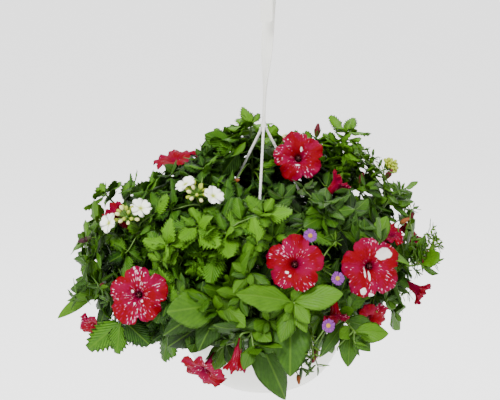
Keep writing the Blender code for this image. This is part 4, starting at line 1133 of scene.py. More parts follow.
# How thickly a bloom is flecked with white, where it differs from the rest
FLECKS = {"d": 0.75, "e": 0.70, "c": 0.55, "b": 0.60, "a": 0.50}

# White blotches on a bloom, in its radii: place across and up, half width and half height
BLOTCHES = {
    "d": (
        (0.45, 0.38, 0.27, 0.20), (-0.26, -0.80, 0.12, 0.11), (-0.03, -0.95, 0.08, 0.07),
        (-0.20, -0.20, 0.035, 0.20), (-0.06, -0.32, 0.035, 0.16), (-0.34, -0.06, 0.03, 0.13),
    ),
    "c": ((-0.24, -0.30, 0.10, 0.05), (-0.12, -0.42, 0.06, 0.05)),
    "e": ((-0.20, 0.12, 0.05, 0.07), (0.14, -0.20, 0.045, 0.05), (-0.10, -0.30, 0.04, 0.06)),
    "b": ((-0.05, -0.32, 0.12, 0.05), (0.10, 0.30, 0.05, 0.09)),
}


# Blooms


class Bloom:
    """A petunia's funnel: its seat in the calyx, the way it faces, and its waved outline."""

    def __init__(self, centre, facing, radius, openness, seed):
        self.facing = facing.normalized()
        self.centre = centre
        self.radius = radius
        self.openness = openness
        self.seat = centre - self.facing * (TUBE_LENGTH + 2)
        draw = random.Random(seed)
        self.spin = draw.uniform(0, math.tau)
        self.lobe_lift = [draw.uniform(-0.16, 0.10) for _ in range(5)]
        self.lobe_reach = [draw.uniform(0.92, 1.06) for _ in range(5)]
        self.wave = draw.uniform(0.05, 0.09)
        self.phases = [draw.uniform(0, math.tau) for _ in range(4)]
        _, self.side, self.over = axes_for(self.facing, UP)

    def at(self, angle, radius, height):
        angle += self.spin
        return self.seat + around(self.side, self.over, angle) * radius + self.facing * height

    def rim(self, turn):
        """The limb's radius and height at a share of a full turn."""
        lobe = turn * 5
        index = int(lobe) % 5
        within = lobe - int(lobe)
        swell = math.sin(math.pi * within) ** 0.45
        reach = self.lobe_reach[index] * (0.75 + 0.25 * swell)
        lift = self.lobe_lift[index] * math.sin(math.pi * within)
        lift += self.wave * math.cos(math.tau * within * 2) - 0.05
        spread = math.sin(math.pi / 2 * self.openness)
        height = TUBE_LENGTH + self.radius * (lift + 0.9 * (1 - self.openness))
        return self.radius * reach * spread, height


def smooth_run(values, t):
    """A value on the smooth curve through evenly spaced values."""
    last = len(values) - 1
    place = min(t * last, last - 1e-6)
    i = int(place)
    u = place - i
    before = values[max(i - 1, 0)]
    here, there = values[i], values[i + 1]
    after = values[min(i + 2, last)]
    return 0.5 * (2 * here + (there - before) * u + (2 * before - 5 * here + 4 * there - after) * u * u
                  + (3 * here - before - 3 * there + after) * u ** 3)


BLOOM_TURNS = 80
BLOOM_ROWS = 15
LIMB_THICKNESS = 0.45

# How far a bloom's crease, ruffles, wave and frayed edge reach, in its radii
CREASE_WIDTH = 0.045
CREASE_DEPTH = 0.035
RUFFLE_DEPTH = 0.075
WAVE_DEPTH = 0.06
FRAY_DEPTH = 0.014

# Ruffles: how many go round the edge, and their share of the depth
RUFFLES = ((13, 0.6), (21, 0.35), (34, 0.22))


def blotch_reach(bloom, point, blotches):
    """How far a point is from the nearest blotch's middle, in that blotch's own half sizes."""
    away = (point - bloom.seat) / bloom.radius
    x, y = away.dot(bloom.side), away.dot(bloom.over)
    return min((math.hypot((x - u) / a, (y - v) / b) for u, v, a, b in blotches), default=9.0)


def tube_faces(rings, count):
    """The faces between rings of corners, and the cap of the first ring."""
    faces = [tuple(reversed(range(count)))]
    for start in range(0, (rings - 1) * count, count):
        for k in range(count):
            j = (k + 1) % count
            faces.append((start + k, start + j, start + count + j, start + count + k))
    return faces


def bloom_mesh(name, bloom, fleck, blotches):
    """The funnel as a sheet of rings, creased along each lobe's middle and ruffled at its edge."""
    corners, shares, rays, flats = [], [], [], []
    inner = bloom.radius * 0.50 * (0.4 + 0.6 * bloom.openness)
    for row in range(BLOOM_ROWS):
        t = row / (BLOOM_ROWS - 1)
        edge = max(0.0, (t - 0.55) / 0.45)
        for i in range(BLOOM_TURNS):
            turn = i / BLOOM_TURNS
            angle = math.tau * turn
            rim_radius, rim_height = bloom.rim(turn)
            radius = smooth_run((TUBE_FOOT_RADIUS, TUBE_MOUTH_RADIUS, inner, rim_radius), t)
            height = smooth_run((GAP + 0.5, TUBE_LENGTH * 0.70, TUBE_LENGTH * 1.02, rim_height), t)
            crease = math.exp(-(((turn * 5) % 1 - 0.5) / CREASE_WIDTH) ** 2)
            height -= crease * bloom.radius * CREASE_DEPTH * min(1.0, 3 * edge)
            ruffle = 0.0
            for (waves, depth), phase in zip(RUFFLES, bloom.phases):
                ruffle += math.sin(angle * waves + phase) * depth
            height += ruffle * bloom.radius * RUFFLE_DEPTH * edge ** 2.0
            height += math.sin(angle * 7 + bloom.phases[2]) * bloom.radius * WAVE_DEPTH * edge
            fray = math.sin(angle * 29 + bloom.phases[3]) + math.sin(angle * 17)
            radius *= 1 + FRAY_DEPTH * fray * edge ** 3
            place = bloom.at(angle, radius, height)
            corners.append(place * MM)
            share = min(1.0, radius / bloom.radius)
            shares.append((share, fleck, blotch_reach(bloom, place, blotches)))
            flat = vec(math.cos(angle), math.sin(angle), 0)
            flats.append((flat * radius + UP * bloom.phases[0] * 40) * MM)
            rays.append(flat * 6.5 + UP * (share * 1.6 + bloom.phases[1] * 9))
    return smooth_mesh(name, corners, tube_faces(BLOOM_ROWS, BLOOM_TURNS), RED_PETAL,
                       flower_share=shares, flower_place=flats, flower_ray=rays)


def solidified(mesh, thickness):
    """A sheet given its thickness."""
    thing = linked(mesh.name, mesh)
    wall = thing.modifiers.new("wall", "SOLIDIFY")
    wall.thickness = thickness * MM
    wall.offset = 0.0
    return baked(thing)


def ball(centre, axis, length, radius, material, sides=8, rings=6, taper=0.0):
    """A bud, anther or disc: a sphere stretched along an axis and narrowed towards one end."""
    bm = bmesh.new()
    bmesh.ops.create_uvsphere(bm, u_segments=sides, v_segments=rings, radius=1.0)
    along, side, over = axes_for(axis, UP)
    places = []
    for v in bm.verts:
        places.append((0.3 * v.co.x, (v.co.z + 1) / 2, 0.0))
        flat = (side * v.co.x + over * v.co.y) * (radius * (1 - taper * v.co.z))
        v.co = (centre + flat + along * (v.co.z * length / 2)) * MM
    mesh = mesh_from("ball", bm)
    mark(mesh, "leaf_place", places)
    mesh.shade_smooth()
    mesh.materials.append(material)
    return mesh


def pistil(bloom):
    """The stigma and the anthers deep in the throat."""
    root = bloom.at(0, 0, GAP + 1)
    stigma = bloom.at(0, 0, TUBE_LENGTH * 0.80)
    anthers = [bloom.at(math.tau * k / 5, ANTHER_CIRCLE, TUBE_LENGTH * 0.72) for k in range(5)]
    meshes = [ball(spot, bloom.facing, 3.0, 0.9, STAMEN, 6, 4) for spot in anthers]
    meshes.append(ball(stigma, bloom.facing, 2.0, 1.4, STAMEN, 8, 5))
    stalks = [([root, stigma], 0.5, 0.4)] + [([root, spot], 0.35, 0.3) for spot in anthers]
    return meshes + [stems("pistil", stalks, STAMEN, 5)]


def calyx_leaves(seat, facing, draw, reach=15.0, girth=2.6):
    """Five long green sepals that hold the foot of a funnel or a bud."""
    along, side, over = axes_for(facing, UP)
    leaves = []
    for k in range(5):
        flat = around(side, over, math.tau * (k + 0.5) / 5)
        length = reach * draw.uniform(0.86, 1.14)
        way = along * 0.86 + flat * 0.45
        root = seat + flat * girth - along * 1.5
        leaf = Leaf("sepal", root, way, along * 0.4 - flat, length, reach * 0.28, -0.5, 0.25)
        leaf.tone = draw.uniform(0.45, 0.7)
        leaves.append(leaf)
    return leaves


# Verbena heads and daisies


# A petal's rows from its root to its tip: share of the length and width
PETAL_ROWS = ((0.04, 0.22), (0.26, 0.58), (0.52, 0.96), (0.76, 1.10), (0.92, 0.92), (1.0, 0.56))
PETAL_COLUMNS = 2


def petal_pattern(notch, cup):
    """A floret's petal as a closed lens, notched at its tip, in unit length."""
    places = [(0.0, 0.0, 0.0)]
    for side, (s, half), q in lens_spots(PETAL_ROWS, PETAL_COLUMNS):
        pull = notch * (1 - abs(q)) ** 2 * max(0.0, (s - 0.6) / 0.4)
        lift = side * 0.02 * (1 - q * q) + cup * (s ** 2 - 0.5 * q * q * s)
        places.append((q * half * 0.5, s - pull, lift))
    faces, ends = lens_faces(len(PETAL_ROWS), PETAL_COLUMNS)
    for (a, b), (c, d) in zip(ends, ends[1:]):
        faces.append(tuple(dict.fromkeys((a, c, d, b))))
    return places, faces


def petals_mesh(name, material, pattern, seats):
    """Petals laid on seats of (root, way, facing, length, width)."""
    places, faces = pattern
    corners, shapes, marks = [], [], []
    for root, way, facing, length, width in seats:
        along, across, normal = axes_for(way, facing)
        start = len(corners)
        for x, y, z in places:
            corners.append((root + across * (x * width) + along * (y * length) + normal * (z * length)) * MM)
            marks.append((x * 2, y, z))
        shapes += [tuple(start + i for i in face) for face in faces]
    return smooth_mesh(name, corners, shapes, material, leaf_place=marks)


FLORET_RADIUS = 13.0
HEAD_CORE_LENGTH = 8.0
HEAD_CORE_RADIUS = 4.2
BUD_LENGTH = 7.4
BUD_RADIUS = 2.2
HEAD_SEED = 500

# Radii of a floret's and of a bud's green tube, at the foot and at the mouth
FLORET_TUBE = (0.9, 1.1)
BUD_TUBE = (1.2, 1.7)

# Buds of an open and of a closed head: how many, and how far they reach out
OPEN_HEAD = (15, (7.5, 12.5))
CLOSED_HEAD = (24, (5.5, 7.5))


def verbena_head(name, seat, facing, floret_places, draw):
    """White florets on slim green tubes round a cluster of upright buds."""
    core = seat + facing * (GAP + HEAD_CORE_LENGTH / 2)
    meshes = [ball(core, facing, HEAD_CORE_LENGTH, HEAD_CORE_RADIUS, GREEN_STEM, 12, 8)]
    along, side, over = axes_for(facing, UP)
    seats, paths = [], []
    for turn, reach, lift in floret_places:
        flat = around(side, over, math.radians(turn))
        centre = core + flat * reach + along * lift
        tilt = (along + flat * 0.5).normalized()
        bend = core + flat * reach * 0.7 + along * lift * 0.1
        paths.append(([core + flat * 1.5, bend, centre], *FLORET_TUBE))
        meshes.append(ball(centre + tilt * 0.3, tilt, 2.0, 1.9, BUD_TIP, 8, 5))
        _, right, top = axes_for(tilt, UP)
        spin = draw.uniform(0, 1) * math.tau
        for k in range(5):
            angle = math.tau * (k + 0.5) / 5 + spin + draw.uniform(-0.09, 0.09)
            way = around(right, top, angle) + tilt * draw.uniform(-0.08, 0.30)
            length = FLORET_RADIUS * draw.uniform(0.88, 1.02)
            seats.append((centre, way, tilt, length, FLORET_RADIUS * draw.uniform(0.92, 1.06)))
    bud_draw = random.Random(HEAD_SEED + len(name))
    count, reaches = OPEN_HEAD if seats else CLOSED_HEAD
    for k in range(count):
        flat = around(side, over, math.radians(GOLDEN_ANGLE * k))
        axis = around(along, flat, 0.12 + 1.25 * math.sqrt((k + 0.5) / count))
        length = bud_draw.uniform(*reaches)
        paths.append(([core + axis * 2, core + axis * (3 + length * 0.7)], *BUD_TUBE))
        finish = PALE_BUD if seats and k % 3 == 1 else BUD_TIP
        meshes.append(ball(core + axis * (2.5 + length), axis, BUD_LENGTH, BUD_RADIUS, finish, 8, 6, -0.12))
    meshes.append(stems("tubes", paths, GREEN_STEM, 7))
    if seats:
        meshes.append(petals_mesh("florets", WHITE_PETAL, petal_pattern(0.15, 0.14), seats))
    return join(name, meshes)


DAISY_RADIUS = 7.5
DAISY_RAYS = 17
DAISY_KNOBS = 42
DISC_RADIUS = 2.2
DISC_GIRTH = 2.5
DISC_LENGTH = 3.2
RAY_WIDTH = 2.4
KNOB_LENGTH = 0.9
KNOB_RADIUS = 0.42
DAISY_FOOT = 2.4


def daisy(name, seat, facing, seed):
    """A ring of slim rays round a disc of small knobs."""
    centre = seat + facing * (GAP + 0.8)
    along, side, over = axes_for(facing, UP)
    draw = random.Random(seed)
    seats = []
    for k in range(DAISY_RAYS):
        angle = math.tau * (k + draw.uniform(-0.2, 0.2)) / DAISY_RAYS
        way = around(side, over, angle) + along * draw.uniform(-0.05, 0.25)
        length = DAISY_RADIUS * draw.uniform(0.88, 1.04)
        seats.append((centre + way, way, along, length * 0.93, RAY_WIDTH))
    meshes = [petals_mesh("rays", MAUVE_PETAL, petal_pattern(0.05, 0.06), seats)]
    meshes.append(ball(centre + along * 0.6, along, DISC_LENGTH, DISC_GIRTH, DAISY_DISC, 14, 8))
    for k in range(DAISY_KNOBS):
        radius = DISC_RADIUS * math.sqrt((k + 0.5) / DAISY_KNOBS)
        rise = 1.1 * math.sqrt(max(0.0, 1 - (radius / 3.0) ** 2))
        flat = around(side, over, math.radians(GOLDEN_ANGLE * k))
        knob = centre + flat * radius + along * (0.9 + rise)
        meshes.append(ball(knob, along, KNOB_LENGTH, KNOB_RADIUS, DAISY_DISC, 5, 4))
    meshes.append(ball(centre - along * (DAISY_FOOT / 2), along, DAISY_FOOT, DAISY_FOOT, GREEN_STEM, 10, 6))
    return join(name, meshes)


# Filling the plant out


TREES = {"leaf": leaf_tree(pattern_collection()), "stem": stem_tree()}


def stems(name, paths, material, sides=6):
    """Round stems along paths, as a plain mesh."""
    return grown(name, path_mesh(name, paths), TREES["stem"], {"Material": material, "Sides": sides})


DOME_CENTRE = vec(-8, 0, 150)
DOME_REACH = vec(212, 190, 158)
DOME_LOW = -0.80
TWIGS = 520
TWIG_SEED = 7
OUTER_SHARES = (0.74, 0.96)
INNER_SHARES = (0.45, 0.72)
SKIRT_FLATTENING = 0.42
POT_CLEARANCE = 22.0
SHORTEST_TWIG = 12.0
LONGEST_TWIG = 130.0
SEED_SPIRAL = 137.508
LEG_CLEARANCE = 7.0
LEG_SHOWN = (0.47, 0.42, 0.36)
SIGHT = 70.0
SIGHT_CLEARANCE = 4.5
LIMB_DEPTH = 4.0
FUNNEL_DEPTH = 34.0
BLOOM_SIGHT = 48.0

# The ball that is kept clear before a head and before a daisy: its middle's distance and its radius
HEAD_CLEARING = (12, 24)
DAISY_CLEARING = (8, 11)


class Clearings:
    """The room that young leaves leave free: before flowers, round the hanger and before what shows of it."""

    def __init__(self, blooms):
        self.blooms = blooms
        self.balls = [(centre, length * 0.5) for buds in BUDS.values() for _, centre, _, length in buds]
        for flowers, (rise, radius) in ((HEADS, HEAD_CLEARING), (DAISIES, DAISY_CLEARING)):
            for _, seat, facing, *_ in flowers.values():
                self.balls.append((seat + facing.normalized() * rise, radius))
        top = UP * (HUB_HEIGHT - SHOULDER_DROP)
        self.rods = [(top, UP * CROWN_HEIGHT, LEG_CLEARANCE)]
        for azimuth, shown in zip(LEG_AZIMUTHS, LEG_SHOWN):
            foot = polar(azimuth, LEG_CIRCLE, RIM_HEIGHT)
            self.rods.append((top, foot, LEG_CLEARANCE))
            for step in range(12):
                spot = top.lerp(foot, shown * step / 11)
                self.rods.append((spot, spot + TOWARD_VIEWER * SIGHT, SIGHT_CLEARANCE))

    def blocks(self, point, margin=0.0):
        for bloom in self.blooms:
            away = point - bloom.centre
            height = away.dot(bloom.facing)
            radial = (away - bloom.facing * height).length
            behind = min(0.0, height + LIMB_DEPTH)
            limit = bloom.radius * (1 + behind / FUNNEL_DEPTH)
            if -FUNNEL_DEPTH < height < BLOOM_SIGHT and radial < limit + margin:
                return True
        for centre, radius in self.balls:
            if (point - centre).length < radius + margin:
                return True
        for start, end, clearance in self.rods:
            run = end - start
            share = held((point - start).dot(run) / run.length_squared)
            if (point - start - run * share).length < clearance + margin:
                return True
        return False

    def admits(self, leaf):
        """Whether a leaf's middle, quarter and tip, at both edges, are all clear."""
        middle = leaf.root.lerp(leaf.tip(), 0.55)
        edge = leaf.across * (leaf.width / 2)
        spots = (middle, middle + edge, middle - edge, leaf.tip(), leaf.root.lerp(leaf.tip(), 0.8))
        return not any(self.blocks(spot, 1.0) for spot in spots)


# Painted shade deep inside the plant: tone falls towards the dome's middle, while outer leaves are lighter,
# as young leaves are
DARK_SHARE = 0.54
TONE_GAIN = 1.5
TONE_SCATTER = (-0.30, 0.28)

# Painted light and shade on the foliage, by region, where it is brighter or darker than the rest: a centre, a
# radius and the change of tone
PAINTED_LIGHT_AND_SHADE_REGIONS = (
    (vec(-60, -150, 215), 75, 0.12), (vec(-120, -120, 220), 55, 0.04), (vec(34, -190, 165), 42, 0.20),
    (vec(18, -120, 245), 38, 0.30), (vec(130, 0, 280), 55, 0.10), (vec(-205, -95, 150), 62, -0.34),
    (vec(-110, -172, 125), 60, -0.46), (vec(-170, -120, 95), 48, -0.58), (vec(12, -185, 58), 54, -0.80),
    (vec(-110, 30, 270), 62, -0.22), (vec(70, -88, 255), 52, -0.34), (vec(-10, -95, 255), 40, -0.25),
    (vec(-66, 0, 290), 50, -0.18), (vec(110, -160, 100), 52, -0.12), (vec(170, -110, 190), 40, -0.22),
)


def dome_reach(way):
    """A way out of the dome's middle, stretched to its surface."""
    return vec(way.x * DOME_REACH.x, way.y * DOME_REACH.y, way.z * DOME_REACH.z)


def depth_tone(point, draw):
    """How bright a leaf is: young and yellow-green outside, darker with painted shade inside, and with
    painted light and shade by region.
    """
    away = point - DOME_CENTRE
    out = vec(away.x / DOME_REACH.x, away.y / DOME_REACH.y, away.z / DOME_REACH.z).length
    tone = (out - DARK_SHARE) * TONE_GAIN + draw.uniform(*TONE_SCATTER)
    # Painted light and shade by region
    for centre, radius, gain in PAINTED_LIGHT_AND_SHADE_REGIONS:
        tone += gain * held(1.6 - 1.2 * (point - centre).length / radius)
    return held(tone)


def add_leaf(shoot, clearings, leaf, draw):
    """Keep a young leaf where it hangs free, with its wave and its tone."""
    if leaf.tip().z >= LOWEST_TIP and clearings.admits(leaf):
        leaf.wave = draw.uniform(0.3, 1.0)
        leaf.phase = draw.uniform(0, math.tau)
        leaf.tone = depth_tone(leaf.tip(), draw)
        shoot.leaves.append(leaf)


# Leaves along a twig: their pattern, lengths, widths by length, distance apart and count at the tip
TWIG_RULES = {
    "petunia": {"leaf": "petunia", "size": (32, 52), "ratio": (0.50, 0.68), "gap": 13.0, "rosette": 6},
    "verbena": {"leaf": "verbena", "size": (34, 50), "ratio": (0.72, 0.92), "gap": 15.0, "rosette": 6},
    "daisy": {"leaf": "lobe", "size": (13, 22), "ratio": (0.17, 0.26), "gap": 4.2, "rosette": 6},
    "slim": {"leaf": "petunia", "size": (20, 30), "ratio": (0.24, 0.38), "gap": 5.5, "rosette": 7},
}

# Young leaves: how they open from the twig in degrees, their length by the twig's size, droop and fold
YOUNG_OPENING = (48, 78)
YOUNG_LENGTH = (0.7, 1.05)
YOUNG_DROOP = (0.15, 0.9)
YOUNG_FOLD = (0.05, 0.35)
LARGE_LEAF = 27.0
LOWEST_TIP = 48.0
LONE_SEED = 40
DRESS_SEED = 900


def leafy_run(shoot, clearings, draw, controls, size, bare, style=""):
    """Leaves along a twig: in turn round a petunia's, in pairs on a verbena's, then the tip's whorl."""
    rule = TWIG_RULES[style or shoot.kind]
    kind = rule["leaf"]
    points = curve_points(controls, 8)
    span = sum((a - b).length for a, b in zip(points, points[1:]))
    count = max(2, int(span * (1 - bare) / rule["gap"]))
    start_turn = draw.uniform(0, 360)
    for i in range(count):
        t = bare + (1 - bare) * (i + 0.5) / count
        point = bezier(controls, t)
        tangent = (bezier(controls, min(1.0, t + 0.03)) - bezier(controls, t - 0.03)).normalized()
        facing = outward(point)
        along, across, normal = axes_for(tangent, facing + vec(0, 0, 0.2))
        pair = (90 * i + 45, 90 * i + 225)
        for turn in pair if kind == "verbena" else (start_turn + GOLDEN_ANGLE * i,):
            radial = around(normal, across, math.radians(turn + draw.uniform(-15, 15)))
            way = around(along, radial, math.radians(draw.uniform(*YOUNG_OPENING)))
            length = size * draw.uniform(*YOUNG_LENGTH) * (1 - 0.35 * t)
            width = length * draw.uniform(*rule["ratio"])
            face = facing * 0.8 + along * 0.5 - radial * 0.15 + shaken(draw, 0.25)
            bend = (draw.uniform(*YOUNG_DROOP), -draw.uniform(*YOUNG_FOLD))
            add_leaf(shoot, clearings, Leaf(kind, point, way, face, length, width, *bend), draw)
    tip = controls[3]
    along, across, normal = axes_for(controls[3] - controls[2], outward(tip))
    for k in range(rule["rosette"]):
        share = (k + 1) / rule["rosette"]
        radial = around(normal, across, math.radians(GOLDEN_ANGLE * k + start_turn))
        way = around(along, radial, math.radians(28 + 54 * share ** 0.6))
        length = size * (0.35 + 0.58 * (k + 1) / rule["rosette"]) * draw.uniform(0.85, 1.1)
        width = length * draw.uniform(*rule["ratio"])
        leaf = Leaf(kind, tip - along * (k * 0.8), way, along - radial * 0.6, length, width,
                    draw.uniform(-0.3, 0.5) or 0.1, -draw.uniform(*YOUNG_FOLD))
        if kind == "verbena" and length > LARGE_LEAF:
            leaf.kind = "verbena_large"
        add_leaf(shoot, clearings, leaf, draw)


def nearest_place(shoots, point):
    """The shoot, and the share of its length, that a twig to a point starts from."""
    places = []
    for shoot in shoots:
        for step in range(5, 20):
            spot = shoot.drawn(step / 20)
            if spot.z >= RIM_HEIGHT + 2:
                gap = (spot - point).length + 60 * abs(step / 20 - 0.7)
                places.append((gap, shoot, step / 20))
    return min(places, key=lambda place: place[0])[1:]


def grow_twig(shoot, t, spot, lift):
    """A thin twig from a stem to a place, lifted on its way by a share of its span."""
    start = shoot.drawn(t)
    tangent = (shoot.drawn(t + 0.02) - start).normalized()
    gap = (spot - start).length
    rise = UP * gap * lift
    controls = (
        start, start + tangent * gap * 0.35 + rise, spot - outward(spot) * gap * 0.3 + rise * 0.4, spot
    )
    shoot.paths.append((curve_points(controls, 9), 1.0, 0.7))
    return controls


def fill_canopy(shoots, clearings):
    """Twigs from the stems to evenly spread places under the canopy's surface, each with its leaves."""
    draw = random.Random(TWIG_SEED)
    for i in range(TWIGS):
        height = DOME_LOW + (1 - DOME_LOW) * (i + 0.5) / TWIGS
        flat = math.sqrt(1 - (height if height > 0 else 0.7 * height) ** 2)
        turn = math.radians(SEED_SPIRAL * i)
        way = vec(flat * math.sin(turn), -flat * math.cos(turn), height)
        reach = dome_reach(way) * draw.uniform(*(OUTER_SHARES if i % 5 > 1 else INNER_SHARES))
        if height < 0:
            reach.z *= SKIRT_FLATTENING
        spot = DOME_CENTRE + reach
        beside_pot = math.hypot(spot.x, spot.y) < RIM_RADIUS + POT_CLEARANCE
        on_pot = beside_pot and spot.z < RIM_HEIGHT + POT_CLEARANCE
        if on_pot or clearings.blocks(spot, 8.0):
            continue
        shoot, t = nearest_place(shoots, spot)
        if SHORTEST_TWIG < (spot - shoot.drawn(t)).length < LONGEST_TWIG:
            controls = grow_twig(shoot, t, spot, 0.25 if height > -0.1 else 0.1)
            size = draw.uniform(*TWIG_RULES[shoot.kind]["size"])
            leafy_run(shoot, clearings, draw, controls, size, 0.25)


# Sprigs of slim, pointed leaves: where each side twig ends, and the size of its leaves
SLIM_SPRIGS = {
    "petunia_top_right": (
        (118, 0, 296, 26), (132, 0, 288, 24), (146, -6, 274, 24), (166, -20, 252, 22),
    ),
    "petunia_far_right": (
        (179, -40, 234, 22), (176, -66, 200, 24), (190, -60, 186, 22),
    ),
    "daisy_spray_edge": (
        (206, -44, 198, 17), (212, -40, 190, 15), (204, -36, 208, 15),
        (198, -50, 186, 16), (192, -52, 178, 16),
    ),
    "petunia_left": (
        (-206, -104, 158, 26), (-190, -128, 164, 26), (-222, -100, 140, 24),
        (-178, -136, 150, 22),
    ),
    "petunia_low_right": ((104, -164, 112, 24), (84, -166, 104, 22)),
    "petunia_crown": ((70, -112, 246, 28), (48, -118, 240, 26)),
}

# Sprigs that shape the outline: where each side twig ends, and the size of its leaves
SPRIGS = {
    "petunia_top_left": (
        (-87, 0, 278, 36), (-70, 14, 290, 38),
        (-62, -6, 284, 34), (-48, -4, 289, 34),
    ),
    "verbena_top": ((-56, 20, 300, 36), (-40, 30, 308, 34), (-26, 44, 314, 30)),
    "verbena_top_right": (
        (57, 40, 300, 28), (72, 30, 298, 30), (88, 20, 300, 30), (102, 10, 292, 30),
        (120, 10, 284, 30), (134, 12, 268, 30),
    ),
    "petunia_top_right": ((148, 4, 250, 32), (136, 10, 262, 30)),
    "petunia_far_left": (
        (-214, -56, 178, 30), (-204, -48, 188, 32),
        (-210, -80, 207, 30), (-198, -90, 195, 30), (-192, -74, 210, 32),
        (-207, -96, 183, 28), (-195, -64, 224, 30),
    ),
    "petunia_far_right": (
        (132, -116, 131, 28), (123, -126, 117, 28),
        (145, -106, 142, 28),
    ),
    "verbena_left": ((-109, -40, 254, 34),),
    "daisy_spray_low": ((44, -172, 84, 24), (62, -168, 86, 24), (54, -176, 96, 24)),
    "daisy_spray_edge": ((206, -22, 178, 24), (200, -30, 192, 24), (208, -36, 164, 22)),
    "petunia_low_right": ((72, -160, 116, 32),),
}

# Single leaves that stand out: kind, root, tip, facing and width
LONE_LEAVES = {
    "verbena_low_left": (
        ("verbena_large", vec(-160, -124, 122), vec(-202, -132, 90), vec(-0.3, -0.9, 0.4), 38),
        ("verbena_large", vec(-160, -128, 124), vec(-130, -142, 100), vec(0.1, -0.9, 0.5), 34),
        ("verbena_large", vec(-164, -128, 122), vec(-168, -140, 88), vec(0.0, -0.95, 0.3), 30),
    ),
    "petunia_front_left": (
        ("petunia_large", vec(-74, -146, 124), vec(-108, -152, 102), vec(-0.2, -0.95, 0.2), 30),
        ("petunia_large", vec(-70, -146, 120), vec(-82, -156, 96), vec(0.0, -0.95, 0.2), 26),
    ),
    "verbena_top": (
        ("petunia_large", vec(-36, 16, 292), vec(-72, 10, 312), vec(-0.2, -0.8, 0.6), 26),
        ("petunia_large", vec(-30, 14, 290), vec(-52, 2, 262), vec(-0.2, -0.9, 0.4), 28),
    ),
    "petunia_crown": (
        ("verbena_large", vec(41, -122, 234), vec(78, -132, 218), vec(0.1, -0.7, 0.7), 24),
        ("petunia_large", vec(2, -104, 262), vec(-34, -112, 250), vec(0.0, -0.7, 0.7), 15),
        ("petunia_large", vec(52, -96, 262), vec(90, -112, 236), vec(0.2, -0.7, 0.7), 16),
    ),
}


# Single buds and withered blooms on thin stalks: middle, axis, length and finish
LONE_BUDS = {
    "verbena_top": ((vec(-34, -56, 272), vec(0.9, -0.4, 0.2), 14, SPENT_BLOOM),),
    "petunia_far_right": ((vec(166, -64, 226), vec(0.7, -0.3, 0.5), 14, SPENT_BLOOM),),
    "petunia_far_left": ((vec(-208, -86, 208), vec(-0.95, -0.2, -0.25), 17, DARK_BUD),),
    "petunia_low": ((vec(40, -178, 74), vec(0.1, -0.6, -0.8), 12, SPENT_BLOOM),),
}


def grow_named_twigs(shoots, clearings):
    """The sprigs and single leaves that stand at places of their own."""
    for table, style in ((SPRIGS, ""), (SLIM_SPRIGS, "slim")):
        for name, sprigs in table.items():
            shoot = shoots[name]
            draw = random.Random(len(name))
            for *tip, size in sprigs:
                _, t = nearest_place([shoot], vec(*tip))
                leafy_run(shoot, clearings, draw, grow_twig(shoot, t, vec(*tip), 0.2), size, 0.3, style)
    for name, leaves in LONE_LEAVES.items():
        shoot = shoots[name]
        draw = random.Random(len(name) + LONE_SEED)
        for kind, root, tip, facing, width in leaves:
            _, t = nearest_place([shoot], root)
            grow_twig(shoot, t, root, 0.15)
            leaf = leaf_towards(kind, root, tip, facing, width)
            leaf.phase = draw.uniform(0, math.tau)
            leaf.tone = depth_tone(tip, draw)
            shoot.leaves.append(leaf)


def dress_shoots(shoots, blooms, clearings):
    """Wave and tone for the large leaves, young leaves on the stems, and the sepals."""
    for shoot in shoots.values():
        draw = random.Random(DRESS_SEED + len(shoot.leaves) + len(shoot.name))
        for leaf in shoot.leaves:
            leaf.wave = draw.uniform(0.3, 0.9)
            leaf.phase = draw.uniform(0, math.tau)
            leaf.tone = min(1.0, depth_tone(leaf.tip(), draw) + 0.08)
        low, high = TWIG_RULES[shoot.kind]["size"]
        leafy_run(shoot, clearings, draw, shoot.curve, draw.uniform(low, high), 0.45)
        for _, centre, axis, length in BUDS.get(shoot.name, ()):
            foot = centre - axis.normalized() * (length / 2 - 2)
            shoot.leaves += calyx_leaves(foot, axis.normalized(), draw, length * 0.62, length * 0.09)
    for name, (owner, *_) in BLOOMS.items():
        draw = random.Random(len(name) + ord(name[-1]))
        shoots[owner].leaves += calyx_leaves(blooms[name].seat, blooms[name].facing, draw)


SHOOT_LEAVES = {"petunia": PETUNIA_LEAF, "verbena": VERBENA_LEAF, "daisy": DAISY_LEAF}


def build_shoot(shoot):
    """A shoot's leaves, stems and buds as one piece in its solid's place."""
    buds = [(centre, axis, length, PETUNIA_BUD) for _, centre, axis, length in BUDS.get(shoot.name, ())]
    for centre, axis, length, finish in LONE_BUDS.get(shoot.name, ()):
        _, t = nearest_place([shoot], centre)
        grow_twig(shoot, t, centre - axis.normalized() * (length * 0.4), 0.2)
        buds.append((centre, axis, length, finish))
    meshes = [
        grown(shoot.name + "_leaves", point_mesh(shoot.name, shoot.leaves), TREES["leaf"],
              {"Material": SHOOT_LEAVES[shoot.kind]}),
        stems(shoot.name + "_stems", shoot.paths, GREEN_STEM, 7),
    ]
    for centre, axis, length, finish in buds:
        meshes.append(ball(centre, axis.normalized(), length, length * 0.2, finish, 12, 10, 0.2))
    ride(join(shoot.name + "_growth", meshes), shoot.kind + "_leaf", shoot.name)


